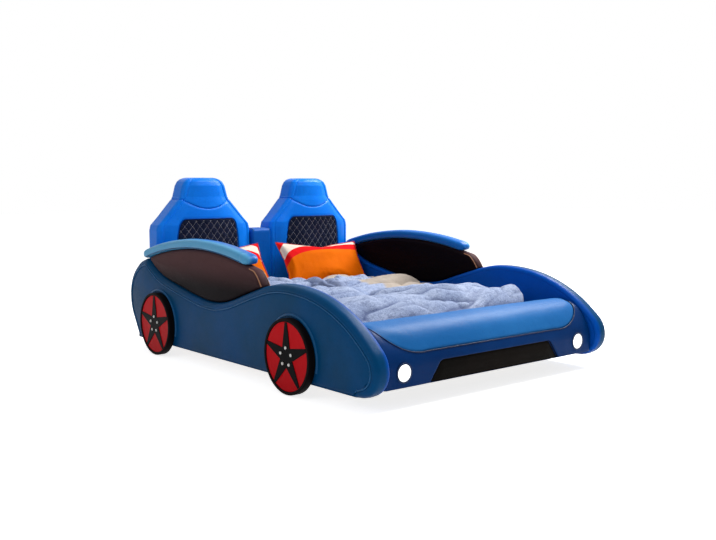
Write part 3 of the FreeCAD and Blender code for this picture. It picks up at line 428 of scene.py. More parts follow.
def metalPaint(name, colour, rough):
    # brushed along Z, with a duller film in places
    paint = Paint(name)
    where = paint.place()
    brushed = paint.noise(paint.stretch(where, (300, 300, 40)), 1.5, 4, 0.6)
    tone = paint.mix(paint.noise(where, 14).between(0.4, 0.7) * 0.3, colour, darker(colour, 0.7))
    return paint.finish(tone, brushed * 0.2 + rough, paint.bump(brushed, 0.00015, 0.4), Metallic=1.0)


ply, plyGrain = linear(212, 178, 130), linear(166, 122, 78)
deal, dealGrain = linear(226, 194, 146), linear(186, 140, 90)
# the outer faces get a darker steel blue: painted shade
blueLeatherShadedOutside = leatherPaint("blueLeatherShadedOutside", linear(0, 76, 172), linear(8, 100, 200), linear(0, 64, 104),
                           shine=0.04)
cushionLeather = leatherPaint("cushionLeather", linear(20, 98, 166), linear(44, 124, 192), gloss=0.44,
                              shine=0.07)
# the rail is a lighter copy of the blue leather, lighter still on its outer face: painted light
litRailLeather = leatherPaint("litRailLeather", linear(10, 100, 184), linear(40, 130, 205), linear(86, 164, 208),
                           side=(0.802, 0.842))
seatLeather = leatherPaint("seatLeather", linear(0, 118, 232), linear(20, 140, 246))
# the centre block is a darker copy of the seat leather: painted shade
shadedBlockLeather = leatherPaint("shadedBlockLeather", linear(0, 84, 172), linear(10, 104, 200))
# the bumper's front is a darker copy of the blue leather: painted shade
shadedBumperLeather = leatherPaint("shadedBumperLeather", linear(0, 44, 98), linear(6, 62, 126), shine=0.035)
# brown window leather; its outer face is a touch lighter and grows lighter towards the top: painted
# reflection
brownLeatherWithReflection = leatherPaint("brownLeatherWithReflection", linear(12, 9, 14), linear(30, 24, 30), linear(20, 15, 18),
                            (0.44, 0.60, linear(84, 58, 60)), gloss=0.36, shine=0.015, coat=0)
grilleLeather = leatherPaint("grilleLeather", linear(10, 8, 6), linear(26, 18, 14), gloss=0.45,
                             shine=0.02, coat=0)
quiltLeather = leatherPaint("quiltLeather", linear(20, 26, 46), linear(38, 46, 74), gloss=0.42,
                            shine=0.03, coat=0)
# piping dulled to the steel blue of the outer faces' painted shade
shadedPipingBlue = leatherPaint("shadedPipingBlue", linear(10, 78, 126), linear(36, 104, 158), gloss=0.34)
# real piping whose pale tan colour stands in for the painted highlight along the window's front edge
pipingTanHighlight = leatherPaint("pipingTanHighlight", linear(150, 104, 76), linear(190, 146, 112), gloss=0.4)
seamBlue = leatherPaint("seamBlue", linear(0, 26, 66), linear(6, 44, 96), gloss=0.34)
tyrePaint = plasticPaint("tyrePaint", linear(19, 15, 17), 0.5, shine=0.02)
redPaint = plasticPaint("redPaint", linear(196, 6, 20), 0.3, shine=0.03)
starPaint = plasticPaint("starPaint", linear(8, 8, 10), 0.38, shine=0.02)
nutPaint = plasticPaint("nutPaint", linear(246, 246, 242), 0.25, coat=0.1)
batteryPaint = plasticPaint("batteryPaint", linear(40, 40, 42), 0.6)
rubberPaint = plasticPaint("rubberPaint", linear(30, 30, 31), 0.75)
rimPaint = plasticPaint("rimPaint", linear(16, 44, 84), 0.3)
buttonPaint = plasticPaint("buttonPaint", linear(230, 230, 226), 0.35)
plywood = woodPaint("plywood", ply, plyGrain, "Y")
crossPly = woodPaint("crossPly", ply, plyGrain, "X")
pine = woodPaint("pine", deal, dealGrain, "Y")
pineAcross = woodPaint("pineAcross", deal, dealGrain, "X")
zinc = metalPaint("zinc", linear(176, 178, 182), 0.25)
print("paints made")


# side panels: padded shell with a piped edge band, arch lips round the wheels

rail = {
    "crown": (355, 657), "radius": 2250, "height": 0.052, "width": 0.090, "rear": 1005, "front": -172,
    "tip": 0.052, "tipRows": 14, "rows": 150, "sides": 64,
    "squareness": 3.4, "swell": 0.0005, "crownRise": 0.004,
    "seamFromTip": 0.075, "seamDepth": 0.0022, "seamWidth": 0.0035, "waviness": 0.0010,
    "piping": 0.0034, "pipingRise": 0.0075, "pipingInset": 0.0028,
}


def railKnot(y, turn=0):
    # a knot of runPoints on the rail's lower face
    across = y - rail["crown"][0]
    drop = rail["radius"] - math.sqrt(rail["radius"] ** 2 - across ** 2)
    return (y, rail["crown"][1] - drop, 180 + turn - math.degrees(math.asin(across / rail["radius"])))


sill = [(926, 558, 216), (443, 404, 191), (190, 374, 180), (-60, 421, 161), (-300, 497, 164)]
panel = {
    "rear": [(1082, 66, 58), (1200, 325, 90), (1105, 508, 144)],
    "top": [(1105, 508, 144), railKnot(1030), railKnot(985), *sill, (-520, 530, 180), (-860, 474, 200),
            (-1070, 362, 217)],
    "front": [(-1070, 362, 217), (-1200, 190, 270), (-1060, 66, 360)],
    "columns": 240, "rows": 42, "outerX": 0.850, "thickness": 0.090, "outerRound": 0.031, "innerRound": 0.023,
    "bottomShare": 0.3, "cornerShare": 0.75,  # how far the roundings reach in along the lower edge
    # (depth, inset) over the outer seam, from the face's edge to the band, and over the inner seam
    "outerSeam": [(0.0, 0.048), (0.0016, 0.0430), (0.0034, 0.0405), (0.0034, 0.0365), (0.0012, 0.0340)],
    "innerSeam": [(0.0008, 0.0255), (0.0022, 0.0280), (0.0008, 0.0305), (0.0, 0.0340)],
    "bandSwell": 0.0015, "puff": (0.0065, 0.004), "puffReach": 0.055, "waviness": 0.0011,
    "pipingInset": 0.0385, "pipingSunk": 0.0004, "pipingRadius": 0.0036,
    "archRadius": 0.2005, "archOut": 0.0045, "archTube": 0.0075, "archSpan": (-16, 196),
}
wheel = {
    "centres": [(-0.586, 0.190), (0.778, 0.190)], "segments": 128, "faceSegments": 96,
    # (depth, radius) of the tyre, out over the tread and in over two ribs, and of the face with its rim
    "tyre": [(0, 0), (0, 0.178), (0.0006, 0.1835), (0.0030, 0.1864), (0.0060, 0.1870), (0.0390, 0.1870),
             (0.0425, 0.1862), (0.0444, 0.1842), (0.0449, 0.1815), (0.0447, 0.1790), (0.0438, 0.1778),
             (0.0447, 0.1766), (0.0449, 0.1745), (0.0446, 0.1724), (0.0436, 0.1712), (0.0415, 0.1710),
             (0.0376, 0.1710), (0.0370, 0.1700), (0.0370, 0)],
    "face": [(0.0370, 0), (0.0370, 0.1700), (0.0385, 0.1706), (0.0398, 0.1698), (0.0402, 0.1680),
             (0.0400, 0.1620), (0.0396, 0.140), (0.0393, 0.100), (0.0396, 0.065), (0.0400, 0.030),
             (0.0400, 0)],
    "spokes": 5, "star": 0.003, "starOut": 0.0399, "starRound": 0.0014, "tip": 0.168, "tipHalf": 0.009,
    "notch": 0.053, "nutCircle": 0.0443, "nutOut": 0.0450, "nut": 0.0080, "nutHeight": 0.0045,
}


def panelSides():
    rear = resample(runPoints(panel["rear"]), panel["rows"])
    top = runPoints(panel["top"])
    ys = np.linspace(top[0, 0], top[-1, 0], panel["columns"])
    top = np.stack([ys, byY(top, ys)], 1)
    front = resample(runPoints(panel["front"]), panel["rows"])
    bottom = np.linspace(front[-1], rear[0], panel["columns"])
    return rear, top, front, bottom


def ringNormals(ring):
    ahead, behind = np.roll(ring, -1, 0) - ring, ring - np.roll(ring, 1, 0)
    turned = [np.stack([-v[:, 1], v[:, 0]], 1) / np.linalg.norm(v, axis=1)[:, None] for v in (ahead, behind)]
    both = turned[0] + turned[1]
    return both / (1 + (turned[0] * turned[1]).sum(1))[:, None]


def panelLevels():
    # (depth from the outer face, inset from the outline) of the shell's loops, outer face first
    big, small, deep = panel["outerRound"], panel["innerRound"], panel["thickness"]
    outerTurn = [(big * (1 - math.cos(a)), big * (1 - math.sin(a)))
                 for a in np.linspace(0.12, math.pi / 2, 9)]
    innerTurn = [(deep - small * (1 - math.cos(a)), small * (1 - math.sin(a)))
                 for a in np.linspace(math.pi / 2, 0.12, 8)]
    return (panel["outerSeam"] + outerTurn + [((big + deep - small) / 2, -panel["bandSwell"])] + innerTurn
            + [(deep - sunk, inset) for sunk, inset in panel["innerSeam"]])


def panelFace(edge, puff, way):
    # the swollen face inside one end loop of the shell: its places and how far each stands out
    rows, columns = panel["rows"], panel["columns"]
    marks = np.cumsum([0, rows - 1, columns - 1, rows - 1])
    left = edge[:rows]
    upper = edge[marks[1]:marks[1] + columns]
    right = edge[marks[2]:marks[2] + rows][::-1]
    lower = closedLine(edge)[marks[3]:][::-1]
    patch = coonsPatch(lower, upper, left, right).reshape(-1, 2)
    far = nearest(patch, np.concatenate([edge[::3], edge[:1]]))
    swell = puff * (1 - np.exp(-far / panel["puffReach"]))
    at = np.column_stack([np.full(len(patch), float(way)), patch])
    wavy = ripple(at, 0.30, panel["waviness"] * 1.6, 3 + way) + ripple(at, 0.09, panel["waviness"] * 0.5, 5)
    return patch, swell + wavy * smoothStep(far, 0, 0.05)


def makeSidePad(name, sign):
    rear, top, front, bottom = panelSides()
    ring = np.concatenate([rear[:-1], top[:-1], front[:-1], bottom[:-1]])
    onBottom = len(ring) - len(bottom) + 1
    share = np.ones(len(ring))
    share[onBottom + 1:] = panel["bottomShare"]
    share[onBottom] = share[0] = panel["cornerShare"]
    normals = ringNormals(ring) * share[:, None]
    levels = panelLevels()
    verts = [(panel["outerX"] - depth, y, z) for depth, inset in levels for y, z in ring + normals * inset]
    faces = gridFaces(len(levels), len(ring), wrap=True)
    for level, puff, way in ((0, panel["puff"][0], 1), (-1, panel["puff"][1], -1)):
        depth, inset = levels[level]
        patch, swell = panelFace(ring + normals * inset, puff, way)
        faces += gridFaces(panel["rows"], panel["columns"], start=len(verts))
        verts.extend((panel["outerX"] - depth + way * s, y, z) for s, (y, z) in zip(swell, patch))
    pad = makePiece(name, np.array(verts) * [sign, 1, 1], faces, blueLeatherShadedOutside)

    seam = resample((ring + normals * panel["pipingInset"])[:onBottom + 1], 620)
    seamX = np.full(len(seam), sign * (panel["outerX"] - panel["pipingSunk"]))
    runs = [(np.column_stack([seamX, seam]), panel["pipingRadius"], 8)]
    angles = np.radians(np.linspace(*panel["archSpan"], 90))
    for y, z in wheel["centres"]:
        arch = np.column_stack([np.full(len(angles), sign * (panel["outerX"] + panel["archOut"])),
                                y + panel["archRadius"] * np.cos(angles),
                                z + panel["archRadius"] * np.sin(angles)])
        runs.append((arch, panel["archTube"], 12))
    return pad, cordPiece(name + "Piping", runs, shadedPipingBlue)


for side, sign in bothSides:
    pad, piping = makeSidePad(side + "SidePad", sign)
    dress(pad, f"{side}_side_pad")
    dress(piping)
print("side pads made")


# windows: brown lens pads under the rails, piped on both faces

window = {
    "top": [(-300, 497, 60), (-236, 574, 38), railKnot(-180, -180), railKnot(355, -180), railKnot(926, -180)],
    "columns": 190, "rows": 46, "middleX": 0.805, "half": 0.0345, "edge": 0.026, "roundness": 2.6,
    "crown": 0.007, "waviness": 0.0016, "groove": 0.0012, "grooveWidth": 0.003,
    "piping": 0.0034, "pipingInset": 0.009, "pipingSunk": 0.0075, "pipingSkip": 3,
}


def makeWindow(name, sign):
    low, top = runPoints(sill)[::-1], runPoints(window["top"])
    t = np.linspace(0, 1, window["columns"])
    front, rear = sill[-1][0] * mm, sill[0][0] * mm
    crowded = np.sin(math.pi * (2 * t - 1)) * -0.5  # sets the columns closer at the ends
    ys = front + (rear - front) * (t + 0.10 * crowded)
    floorZ, roofZ = byY(low, ys), byY(top, ys)
    v = (1 - np.cos(np.linspace(0, math.pi, window["rows"]))) / 2
    zs = floorZ + v[:, None] * (roofZ - floorZ)
    flat = np.stack([np.repeat(ys[None], len(v), 0), zs], -1).reshape(-1, 2)
    outline = np.concatenate([low, top[::-1], low[:1]])
    far = nearest(flat, outline)
    near = np.clip(far / window["edge"], 0, 1)
    power = window["roundness"]
    half = window["half"] * (1 - (1 - near) ** power) ** (1 / power)
    half += window["crown"] * smoothStep(far, 0.02, 0.11)
    at = np.column_stack([np.zeros(len(flat)), flat])
    half += ripple(at, 0.22, window["waviness"], 8) * smoothStep(far, 0.01, 0.06)
    fromGroove = (far - window["pipingInset"] - 0.004) / window["grooveWidth"]
    half -= window["groove"] * np.exp(-fromGroove ** 2)
    verts, faces = [], []
    for way in (1, -1):
        faces += gridFaces(window["rows"], window["columns"], start=len(verts))
        verts.extend((sign * (window["middleX"] + way * h), y, z) for h, (y, z) in zip(half, flat))
    lens = makePiece(name, verts, faces, brownLeatherWithReflection)

    exposed = resample(runPoints(window["top"][:3]), 60)
    along = np.gradient(exposed, axis=0)
    inward = np.stack([along[:, 1], -along[:, 0]], 1) / np.linalg.norm(along, axis=1)[:, None]
    seam = (exposed + inward * window["pipingInset"])[window["pipingSkip"]:]
    runs = []
    for way in (1, -1):
        x = sign * (window["middleX"] + way * (window["half"] - window["pipingSunk"]))
        runs.append((np.column_stack([np.full(len(seam), x), seam]), window["piping"], 8))
    return lens, cordPiece(name + "Piping", runs, pipingTanHighlight)


for side, sign in bothSides:
    lens, piping = makeWindow(side + "Window", sign)
    dress(lens, f"{side}_window_panel")
    dress(piping)
print("windows made")


# roof rails: padded bows with round tips, a seam under each edge and round the front tip

def makeRail(name, sign):
    radius, tip = rail["radius"] * mm, rail["tip"]
    crownY, crownZ = rail["crown"]
    first, last = (math.asin((rail[end] - crownY) / rail["radius"]) for end in ("front", "rear"))
    middle = radius + rail["height"] / 2
    middleX = panel["outerX"] - rail["width"] / 2
    total = (last - first) * middle
    taper = tip * (1 - np.cos(np.linspace(0.03, math.pi / 2, rail["tipRows"])))
    stations = np.concatenate([taper, np.linspace(tip, total - tip, rail["rows"])[1:-1], total - taper[::-1]])

    def onBow(s, out):
        # (y, z) at length s along the bow and at a radius
        angle = first + s / middle
        return crownY * mm + out * math.sin(angle), crownZ * mm - radius + out * math.cos(angle)

    around = np.linspace(0, math.tau, rail["sides"], endpoint=False)
    power = 2 / rail["squareness"]
    sectionX = np.sign(np.cos(around)) * np.abs(np.cos(around)) ** power
    sectionZ = np.sign(np.sin(around)) * np.abs(np.sin(around)) ** power
    verts = []
    for s in stations:
        scale = math.sqrt(max(0.0, 1 - (1 - min(1, min(s, total - s) / tip)) ** 2))
        seam = rail["seamDepth"] * math.exp(-((s - rail["seamFromTip"]) / rail["seamWidth"]) ** 2)
        halfWide = (rail["width"] / 2 + rail["swell"]) * (0.35 + 0.65 * scale) - seam
        halfTall = (rail["height"] / 2 + rail["swell"]) * scale - seam
        for px, pz in zip(sectionX, sectionZ):
            crown = rail["crownRise"] * (1 - px * px) * (pz > 0)
            verts.append((middleX + px * halfWide, *onBow(s, middle + pz * halfTall + crown * scale)))
    faces = gridFaces(len(stations), rail["sides"], wrap=True)
    lastRow = (len(stations) - 1) * rail["sides"]
    faces += [list(range(rail["sides"])), [lastRow + k for k in range(rail["sides"])]]
    verts = np.array(verts)
    verts[:, 2] += ripple(verts, 0.12, rail["waviness"], 12)
    runs = []
    for way in (1, -1):
        x = middleX + way * (rail["width"] / 2 - rail["pipingInset"])
        path = [(x, *onBow(s, radius + rail["pipingRise"])) for s in np.linspace(tip, total - tip, 260)]
        runs.append((path, rail["piping"], 8))
    return (makePiece(name, verts * [sign, 1, 1], faces, litRailLeather),
            cordPiece(name + "Piping", runs, shadedPipingBlue, mirror=sign))


for side, sign in bothSides:
    bow, piping = makeRail(side + "RoofRail", sign)
    dress(bow, f"{side}_roof_rail")
    dress(piping)
print("roof rails made")


# bumper: an upholstered roll with a leaf-shaped cushion sewn into its top, and a dark grille pad

bumper = {
    "run": [(-1150, 180, 90), (-1082, 322, 47), (-945, 371, 0), (-865, 310, 270)], "bottom": 0.100,
    "half": 0.758, "endRound": 0.012, "columns": 210,
    # the seam's (x, height): level in the middle, then an arc through these three
    "seamMarks": ((0.480, 0.251), (0.665, 0.296), (0.744, 0.371)), "crestGap": 0.0015,
    "sunk": 0.010, "swell": 0.0035, "swellReach": 0.03, "rollDepth": 0.005, "rollWidth": 0.009,
    "waviness": 0.0012, "lampX": 0.641, "lampZ": 0.168, "lampSeat": (0.036, 0.043, 0.012),
}
cushion = {
    "columns": 230, "rows": 74, "roll": 0.016, "lip": 0.007, "puff": 0.007, "puffReach": 0.09, "under": 0.009,
    "waviness": (0.0016, 0.0006), "piping": 0.0032, "pipingEnd": 0.741, "pipingBelow": 0.0045,
    "pipingOut": 0.0012,
}
grille = {
    "half": (0.478, 0.405), "top": 0.199, "corner": 0.040, "sunk": 0.022, "columns": 170, "rows": 26,
    "face": -1.1385, "back": -1.1320, "puff": 0.008, "roll": 0.020, "crown": 0.003, "waviness": 0.0010,
    "piping": 0.0030, "pipingY": -1.1475,
}
bumperFront, bumperRear = bumper["run"][0][0] * mm, bumper["run"][-1][0] * mm
bumperProfile = np.concatenate([
    np.linspace([bumperFront, bumper["bottom"]], [bumperFront, bumper["run"][0][1] * mm], 20)[:-1],
    runPoints(bumper["run"], 0.003),
    np.linspace([bumperRear, bumper["run"][-1][1] * mm], [bumperRear, bumper["bottom"]], 30)[1:]])
profileLength = alongLength(bumperProfile)
crestZ = bumperProfile[:, 1].max()
crestAt = profileLength[np.argmax(bumperProfile[:, 1])]
profileTangent = np.gradient(bumperProfile, axis=0)
profileTangent /= np.linalg.norm(profileTangent, axis=1)[:, None]
profileNormal = np.stack([-profileTangent[:, 1], profileTangent[:, 0]], 1)


def circleThrough(a, b, c):
    (ax, ay), (bx, by), (cx, cy) = a, b, c
    det = 2 * (ax * (by - cy) + bx * (cy - ay) + cx * (ay - by))
    squares = [x * x + y * y for x, y in (a, b, c)]
    ux = (squares[0] * (by - cy) + squares[1] * (cy - ay) + squares[2] * (ay - by)) / det
    uy = (squares[0] * (cx - bx) + squares[1] * (ax - cx) + squares[2] * (bx - ax)) / det
    return ux, uy, math.hypot(ax - ux, ay - uy)


seamX, seamY, seamRadius = circleThrough(*bumper["seamMarks"])
(seamLevelTo, seamLow), _, (seamEnd, seamTop) = bumper["seamMarks"]


def seamHeight(x):
    # level in the middle, sweeping up to the crest at both ends
    x = abs(x)
    if x <= seamX:
        return min(seamLow, seamY - seamRadius) if x > seamLevelTo else seamLow
    if x >= seamEnd:
        return seamTop
    return seamY - math.sqrt(max(0, seamRadius ** 2 - (x - seamX) ** 2))


def profileAt(s, lift=0.0):
    # a place on the bumper's section at length s, lifted along its normal
    p = [np.interp(s, profileLength, bumperProfile[:, k]) for k in (0, 1)]
    n = [np.interp(s, profileLength, profileNormal[:, k]) for k in (0, 1)]
    return np.array(p) + np.array(n) * lift


def seamPlaces(x):
    # lengths along the section at which the seam crosses it, before and behind the crest
    rising = profileLength <= crestAt
    z = min(seamHeight(x), crestZ - bumper["crestGap"])
    front = np.interp(z, bumperProfile[rising, 1], profileLength[rising])
    back = np.interp(-z, -bumperProfile[~rising, 1], profileLength[~rising])
    return front, back


def grilleEdge():
    wide, narrow = grille["half"]
    top, low, r = grille["top"], bumper["bottom"], grille["corner"]
    lean = math.atan2(wide - narrow, top - low)
    reach = r * math.tan((math.pi / 2 - lean) / 2)
    start = np.array([narrow, top]) + reach * np.array([math.sin(lean), -math.cos(lean)])
    centre = start - r * np.array([math.cos(lean), math.sin(lean)])
    arc = [centre + r * np.array([math.cos(a), math.sin(a)]) for a in np.linspace(lean, math.pi / 2, 14)]
    right = np.array([[wide, low], *arc])
    return np.concatenate([right, right[::-1] * [-1, 1]])


grilleLine = grilleEdge()


def bumperColumns():
    half, r = bumper["half"], bumper["endRound"]
    ends = half - r * (1 - np.cos(np.linspace(0.05, math.pi / 2, 7)))
    inner = np.linspace(-(half - r), half - r, bumper["columns"])
    return np.concatenate([-ends, inner[1:-1], ends[::-1]])


def faceLengths(front, back):
    # where the face has its rows: close together in the seam, and none crossing another
    return np.concatenate([
        np.linspace(0, front - 0.010, 34), front + np.array([-0.006, -0.003, -0.001, 0.0015, 0.004]),
        np.linspace(front + 0.006, max(front + 0.007, crestAt), 12),
        np.linspace(max(front + 0.008, crestAt + 0.001), max(front + 0.009, back), 10)[1:],
        np.linspace(max(front + 0.010, back + 0.002), profileLength[-1], 12)])


def makeBumperFace():
    columns = bumperColumns()
    half, r = bumper["half"], bumper["endRound"]
    verts = []
    for x in columns:
        front, back = seamPlaces(x)
        over = max(0.0, abs(x) - (half - r))
        pulled = r - math.sqrt(max(0.0, r * r - over * over))
        for s in faceLengths(front, back):
            edge = min(abs(s - front), abs(s - back))
            if front < s < back:
                lift = -bumper["sunk"] * smoothStep(s - front, -0.001, 0.005)
            else:
                lift = bumper["swell"] * (1 - math.exp(-edge / bumper["swellReach"]))
            lift -= bumper["rollDepth"] * max(0, 1 - edge / bumper["rollWidth"]) ** 2
            y, z = profileAt(s, lift - pulled)
            verts.append((x, y, max(z, bumper["bottom"])))
    verts = np.array(verts)
    rows = len(verts) // len(columns)
    flat = verts[:, [0, 2]]
    onFront = verts[:, 1] < bumperFront + 0.030
    inGrille = insideOf(flat, grilleLine) & onFront
    far = nearest(flat, closedLine(grilleLine))
    verts[:, 1] += np.where(inGrille, smoothStep(far, 0.0, 0.006) * grille["sunk"], 0)
    inner, outer, deep = bumper["lampSeat"]
    for x in (-bumper["lampX"], bumper["lampX"]):
        near = np.hypot(flat[:, 0] - x, flat[:, 1] - bumper["lampZ"])
        verts[:, 1] += np.where(onFront, (1 - smoothStep(near, inner, outer)) * deep, 0)
    verts[:, 1] += np.where(onFront & ~inGrille, ripple(verts, 0.10, bumper["waviness"], 21), 0)
    faces = gridFaces(len(columns), rows)
    faces += [[k * rows + i for i in range(rows)] for k in (0, len(columns) - 1)]
    faces += [[i * rows, (i + 1) * rows, (i + 2) * rows - 1, (i + 1) * rows - 1]
              for i in range(len(columns) - 1)]
    return makePiece("bumperFace", verts, faces, shadedBumperLeather)


def makeBumperCushion():
    t = np.linspace(-1, 1, cushion["columns"])
    columns = seamEnd * np.sign(t) * (1 - (1 - np.abs(t)) ** 1.25)
    shares = (1 - np.cos(np.linspace(0, math.pi, cushion["rows"]))) / 2
    top, under = [], []
    for x in columns:
        front, back = seamPlaces(x)
        reach = max(back - front, 0.002)
        for share in shares:
            s = front + share * reach
            edge = min(share, 1 - share) * reach
            roundShare = math.sqrt(1 - (1 - min(1.0, edge / cushion["roll"])) ** 2)
            puff = cushion["puff"] * smoothStep(edge, 0.0, cushion["puffReach"])
            top.append((x, *profileAt(s, (cushion["lip"] + puff) * roundShare - cushion["lip"])))
            under.append((x, *profileAt(s, -cushion["under"])))
    top, under = np.array(top), np.array(under)
    fade = smoothStep(seamEnd - np.abs(top[:, 0]), 0.02, 0.12)
    large, small = cushion["waviness"]
    top[:, 2] += (ripple(top, 0.16, large, 31) + ripple(top, 0.055, small, 32)) * fade
    border = np.zeros((len(columns), len(shares)), bool)
    border[:, [0, -1]] = border[[0, -1]] = True
    top[border.ravel()] = under[border.ravel()]
    faces = (gridFaces(len(columns), len(shares))
             + gridFaces(len(columns), len(shares), start=len(top)))
    return makePiece("bumperCushion", np.concatenate([top, under]), faces, cushionLeather)


def makeBumperPiping():
    end, level = cushion["pipingEnd"], seamLevelTo
    xs = np.concatenate([np.linspace(-end, -level, 90), np.linspace(-level, level, 160)[1:-1],
                         np.linspace(level, end, 90)])
    path = [(x, *profileAt(seamPlaces(x)[0] - cushion["pipingBelow"], cushion["pipingOut"])) for x in xs]
    return cordPiece("bumperPiping", [(resample(np.array(path), 460), cushion["piping"], 8)], seamBlue)


def makeGrille():
    # a thin pad that fills the recess; it is open at the bumper's lower edge
    right = grilleLine[:len(grilleLine) // 2]
    verts = []
    for z in bumper["bottom"] + np.linspace(0, 1, grille["rows"]) * (grille["top"] - bumper["bottom"]):
        reach = np.interp(z, right[:, 1], right[:, 0])
        verts.extend((u * reach, 0.0, z) for u in np.linspace(-1, 1, grille["columns"]))
    verts = np.array(verts)
    far = nearest(verts[:, [0, 2]], grilleLine)
    puff = (grille["puff"] * (1 - (1 - np.clip(far / grille["roll"], 0, 1)) ** 2) ** 0.5
            + grille["crown"] * smoothStep(far, 0.01, 0.05))
    front, back = verts.copy(), verts.copy()
    front[:, 1] = grille["face"] - puff + ripple(verts, 0.09, grille["waviness"], 41)
    back[:, 1] = grille["back"]
    pad = makePiece("grillePad", np.concatenate([front, back]), slabFaces(grille["rows"], grille["columns"]),
                    grilleLeather)
    path = np.insert(grilleLine, 1, grille["pipingY"], axis=1)
    return pad, cordPiece("grillePiping", [(resample(path, 240), grille["piping"], 8)], grilleLeather)


dress(makeBumperFace(), "bumper_face")
dress(makeBumperCushion(), "bumper_cushion")
dress(makeBumperPiping())
grillePad, grillePiping = makeGrille()
dress(grillePad, "grille_insert")
dress(grillePiping)
print("bumper made")


# headboard: two seat backs, each a body, a head pad and a quilted insert

seat = {
    "middle": 0.418, "front": 0.963, "back": 1.088, "edge": 0.030, "half": 0.339, "crown": 0.053,
    "levels": [  # height, half-width, crown of the front, set-back of the front
        (170, 339, 0, 0), (325, 339, 0, 0), (360, 339, 40, 0), (395, 339, 53, 0), (735, 339, 53, 0),
        (768, 331, 51, 0), (812, 288, 43, 0), (917, 194, 30, 0), (945, 173, 25, 0), (1016, 154, 22, 1),
        (1042, 139, 17, 5), (1056, 122, 12, 13), (1064, 101, 8, 22), (1067, 84, 5, 31)],
    "backFollows": 0.35, "frontMargin": 0.004, "softTo": 1.0,
    "seamHalf": 0.165, "seamEnd": 0.930, "seamLow": 0.869,
    "bodyRows": 150, "headRows": 56, "backColumns": 14, "sideColumns": 10, "roundColumns": 9,
    "frontColumns": 110, "spread": 0.28,  # how much wider the front's columns stand in the middle
    # rows beside the seam between body and head: how far from it, and how far drawn in
    "seamRows": (0.0, 0.0012, 0.0035, 0.0075), "seamRoll": (0.0075, 0.0045, 0.0022, 0.0007),
    "seamReach": 0.013,
    "creaseIn": 0.004, "creaseDepth": 0.0034, "creaseWidth": 0.0042, "swell": 0.004,
    "waves": ((0.20, 0.0024, 51), (0.06, 0.0007, 52)),
}
quilting = {
    "outline": [(175, 400, 60), (226, 610, 90), (208, 762, 104), (160, 807, 180)],
    "rows": 150, "columns": 168, "sunk": 0.013, "bank": 0.007, "lip": (0.003, 0.006), "out": 0.004,
    "back": 0.016, "edgeDrop": 0.006,
    "diamond": (0.050, 0.062), "middle": 0.6035, "puff": 0.0042, "roundness": 0.62,
    "waves": (0.03, 0.0006, 61),
    "piping": 0.0034, "pipingOut": 0.0035,
}
stitch = {"length": 0.0060, "step": 0.0082, "radius": 0.0009, "out": 0.0020, "fromEdge": 0.009,
          "heights": (0.402, 0.806, 0.006), "lines": 16}
levelTable = np.array(seat["levels"], float) * mm
seamDrop = seat["seamEnd"] - seat["seamLow"]
seamCurve = (seat["seamHalf"] ** 2 + seamDrop ** 2) / (2 * seamDrop)


def headSeam(x):
    inside = np.minimum(np.abs(x), seat["seamHalf"])
    return seat["seamLow"] + seamCurve - np.sqrt(seamCurve ** 2 - inside ** 2)


def seatColumns():
    # each column of the seat's loop: its part, and where it is in it
    sideways = np.linspace(0, 1, seat["sideColumns"])
    bends = np.linspace(0, math.pi / 2, seat["roundColumns"])
    t, spread = np.linspace(-1, 1, seat["frontColumns"]), seat["spread"]
    columns = [("back", f) for f in np.linspace(1, -1, seat["backColumns"])[1:-1]]
    columns += [("left", q) for q in sideways[:-1]]
    columns += [("leftRound", a) for a in bends[:0:-1]]
    columns += [("front", f) for f in t * (1 + spread - spread * t * t)]
    columns += [("rightRound", a) for a in bends[1:]]
    columns += [("right", q) for q in sideways[-2::-1]]
    return columns


def seatPlace(kind, value, z):
    # (x, y) of a column at heights z
    half, crown, back = (np.interp(z, levelTable[:, 0], levelTable[:, k]) for k in (1, 2, 3))
    front = seat["front"] + back
    rear = seat["back"] - back * seat["backFollows"]
    edge = seat["edge"]
    side = -1 if kind.startswith("left") else 1
    if kind == "back":
        return value * half, rear
    if kind in ("left", "right"):
        return side * half, rear + (front + edge - rear) * value
    if kind in ("leftRound", "rightRound"):
        return side * (half - edge + edge * math.sin(value)), front + edge - edge * math.cos(value)
    inner = half - edge
    away = inner * (1 - abs(value))
    y = front - crown * (1 - value ** 2)
    y = y + seat["creaseDepth"] * np.exp(-((away - seat["creaseIn"]) / seat["creaseWidth"]) ** 2)
    y = y - seat["swell"] * smoothStep(away, 0.008, 0.05) * (crown > 0.001)
    return value * inner, y


quiltRight = runPoints(quilting["outline"], 0.004)
quiltLine = np.concatenate([quiltRight, quiltRight[::-1] * [-1, 1]])


def crownFront(x):
    # the seat's front surface over the quilt
    inner = seat["half"] - seat["edge"]
    return seat["front"] - seat["crown"] * (1 - (x / inner) ** 2) - seat["swell"]


def seatHeights(low, high, rows, isHead):
    # heights of a column's rows, close together beside the seam
    beside, reach = np.array(seat["seamRows"]), seat["seamReach"]
    steps = np.linspace(0, 1, rows - len(beside)) * (high - low - reach)
    if isHead:
        return np.concatenate([low + beside, low + reach + steps])
    return np.concatenate([low + steps, high - beside[::-1]])


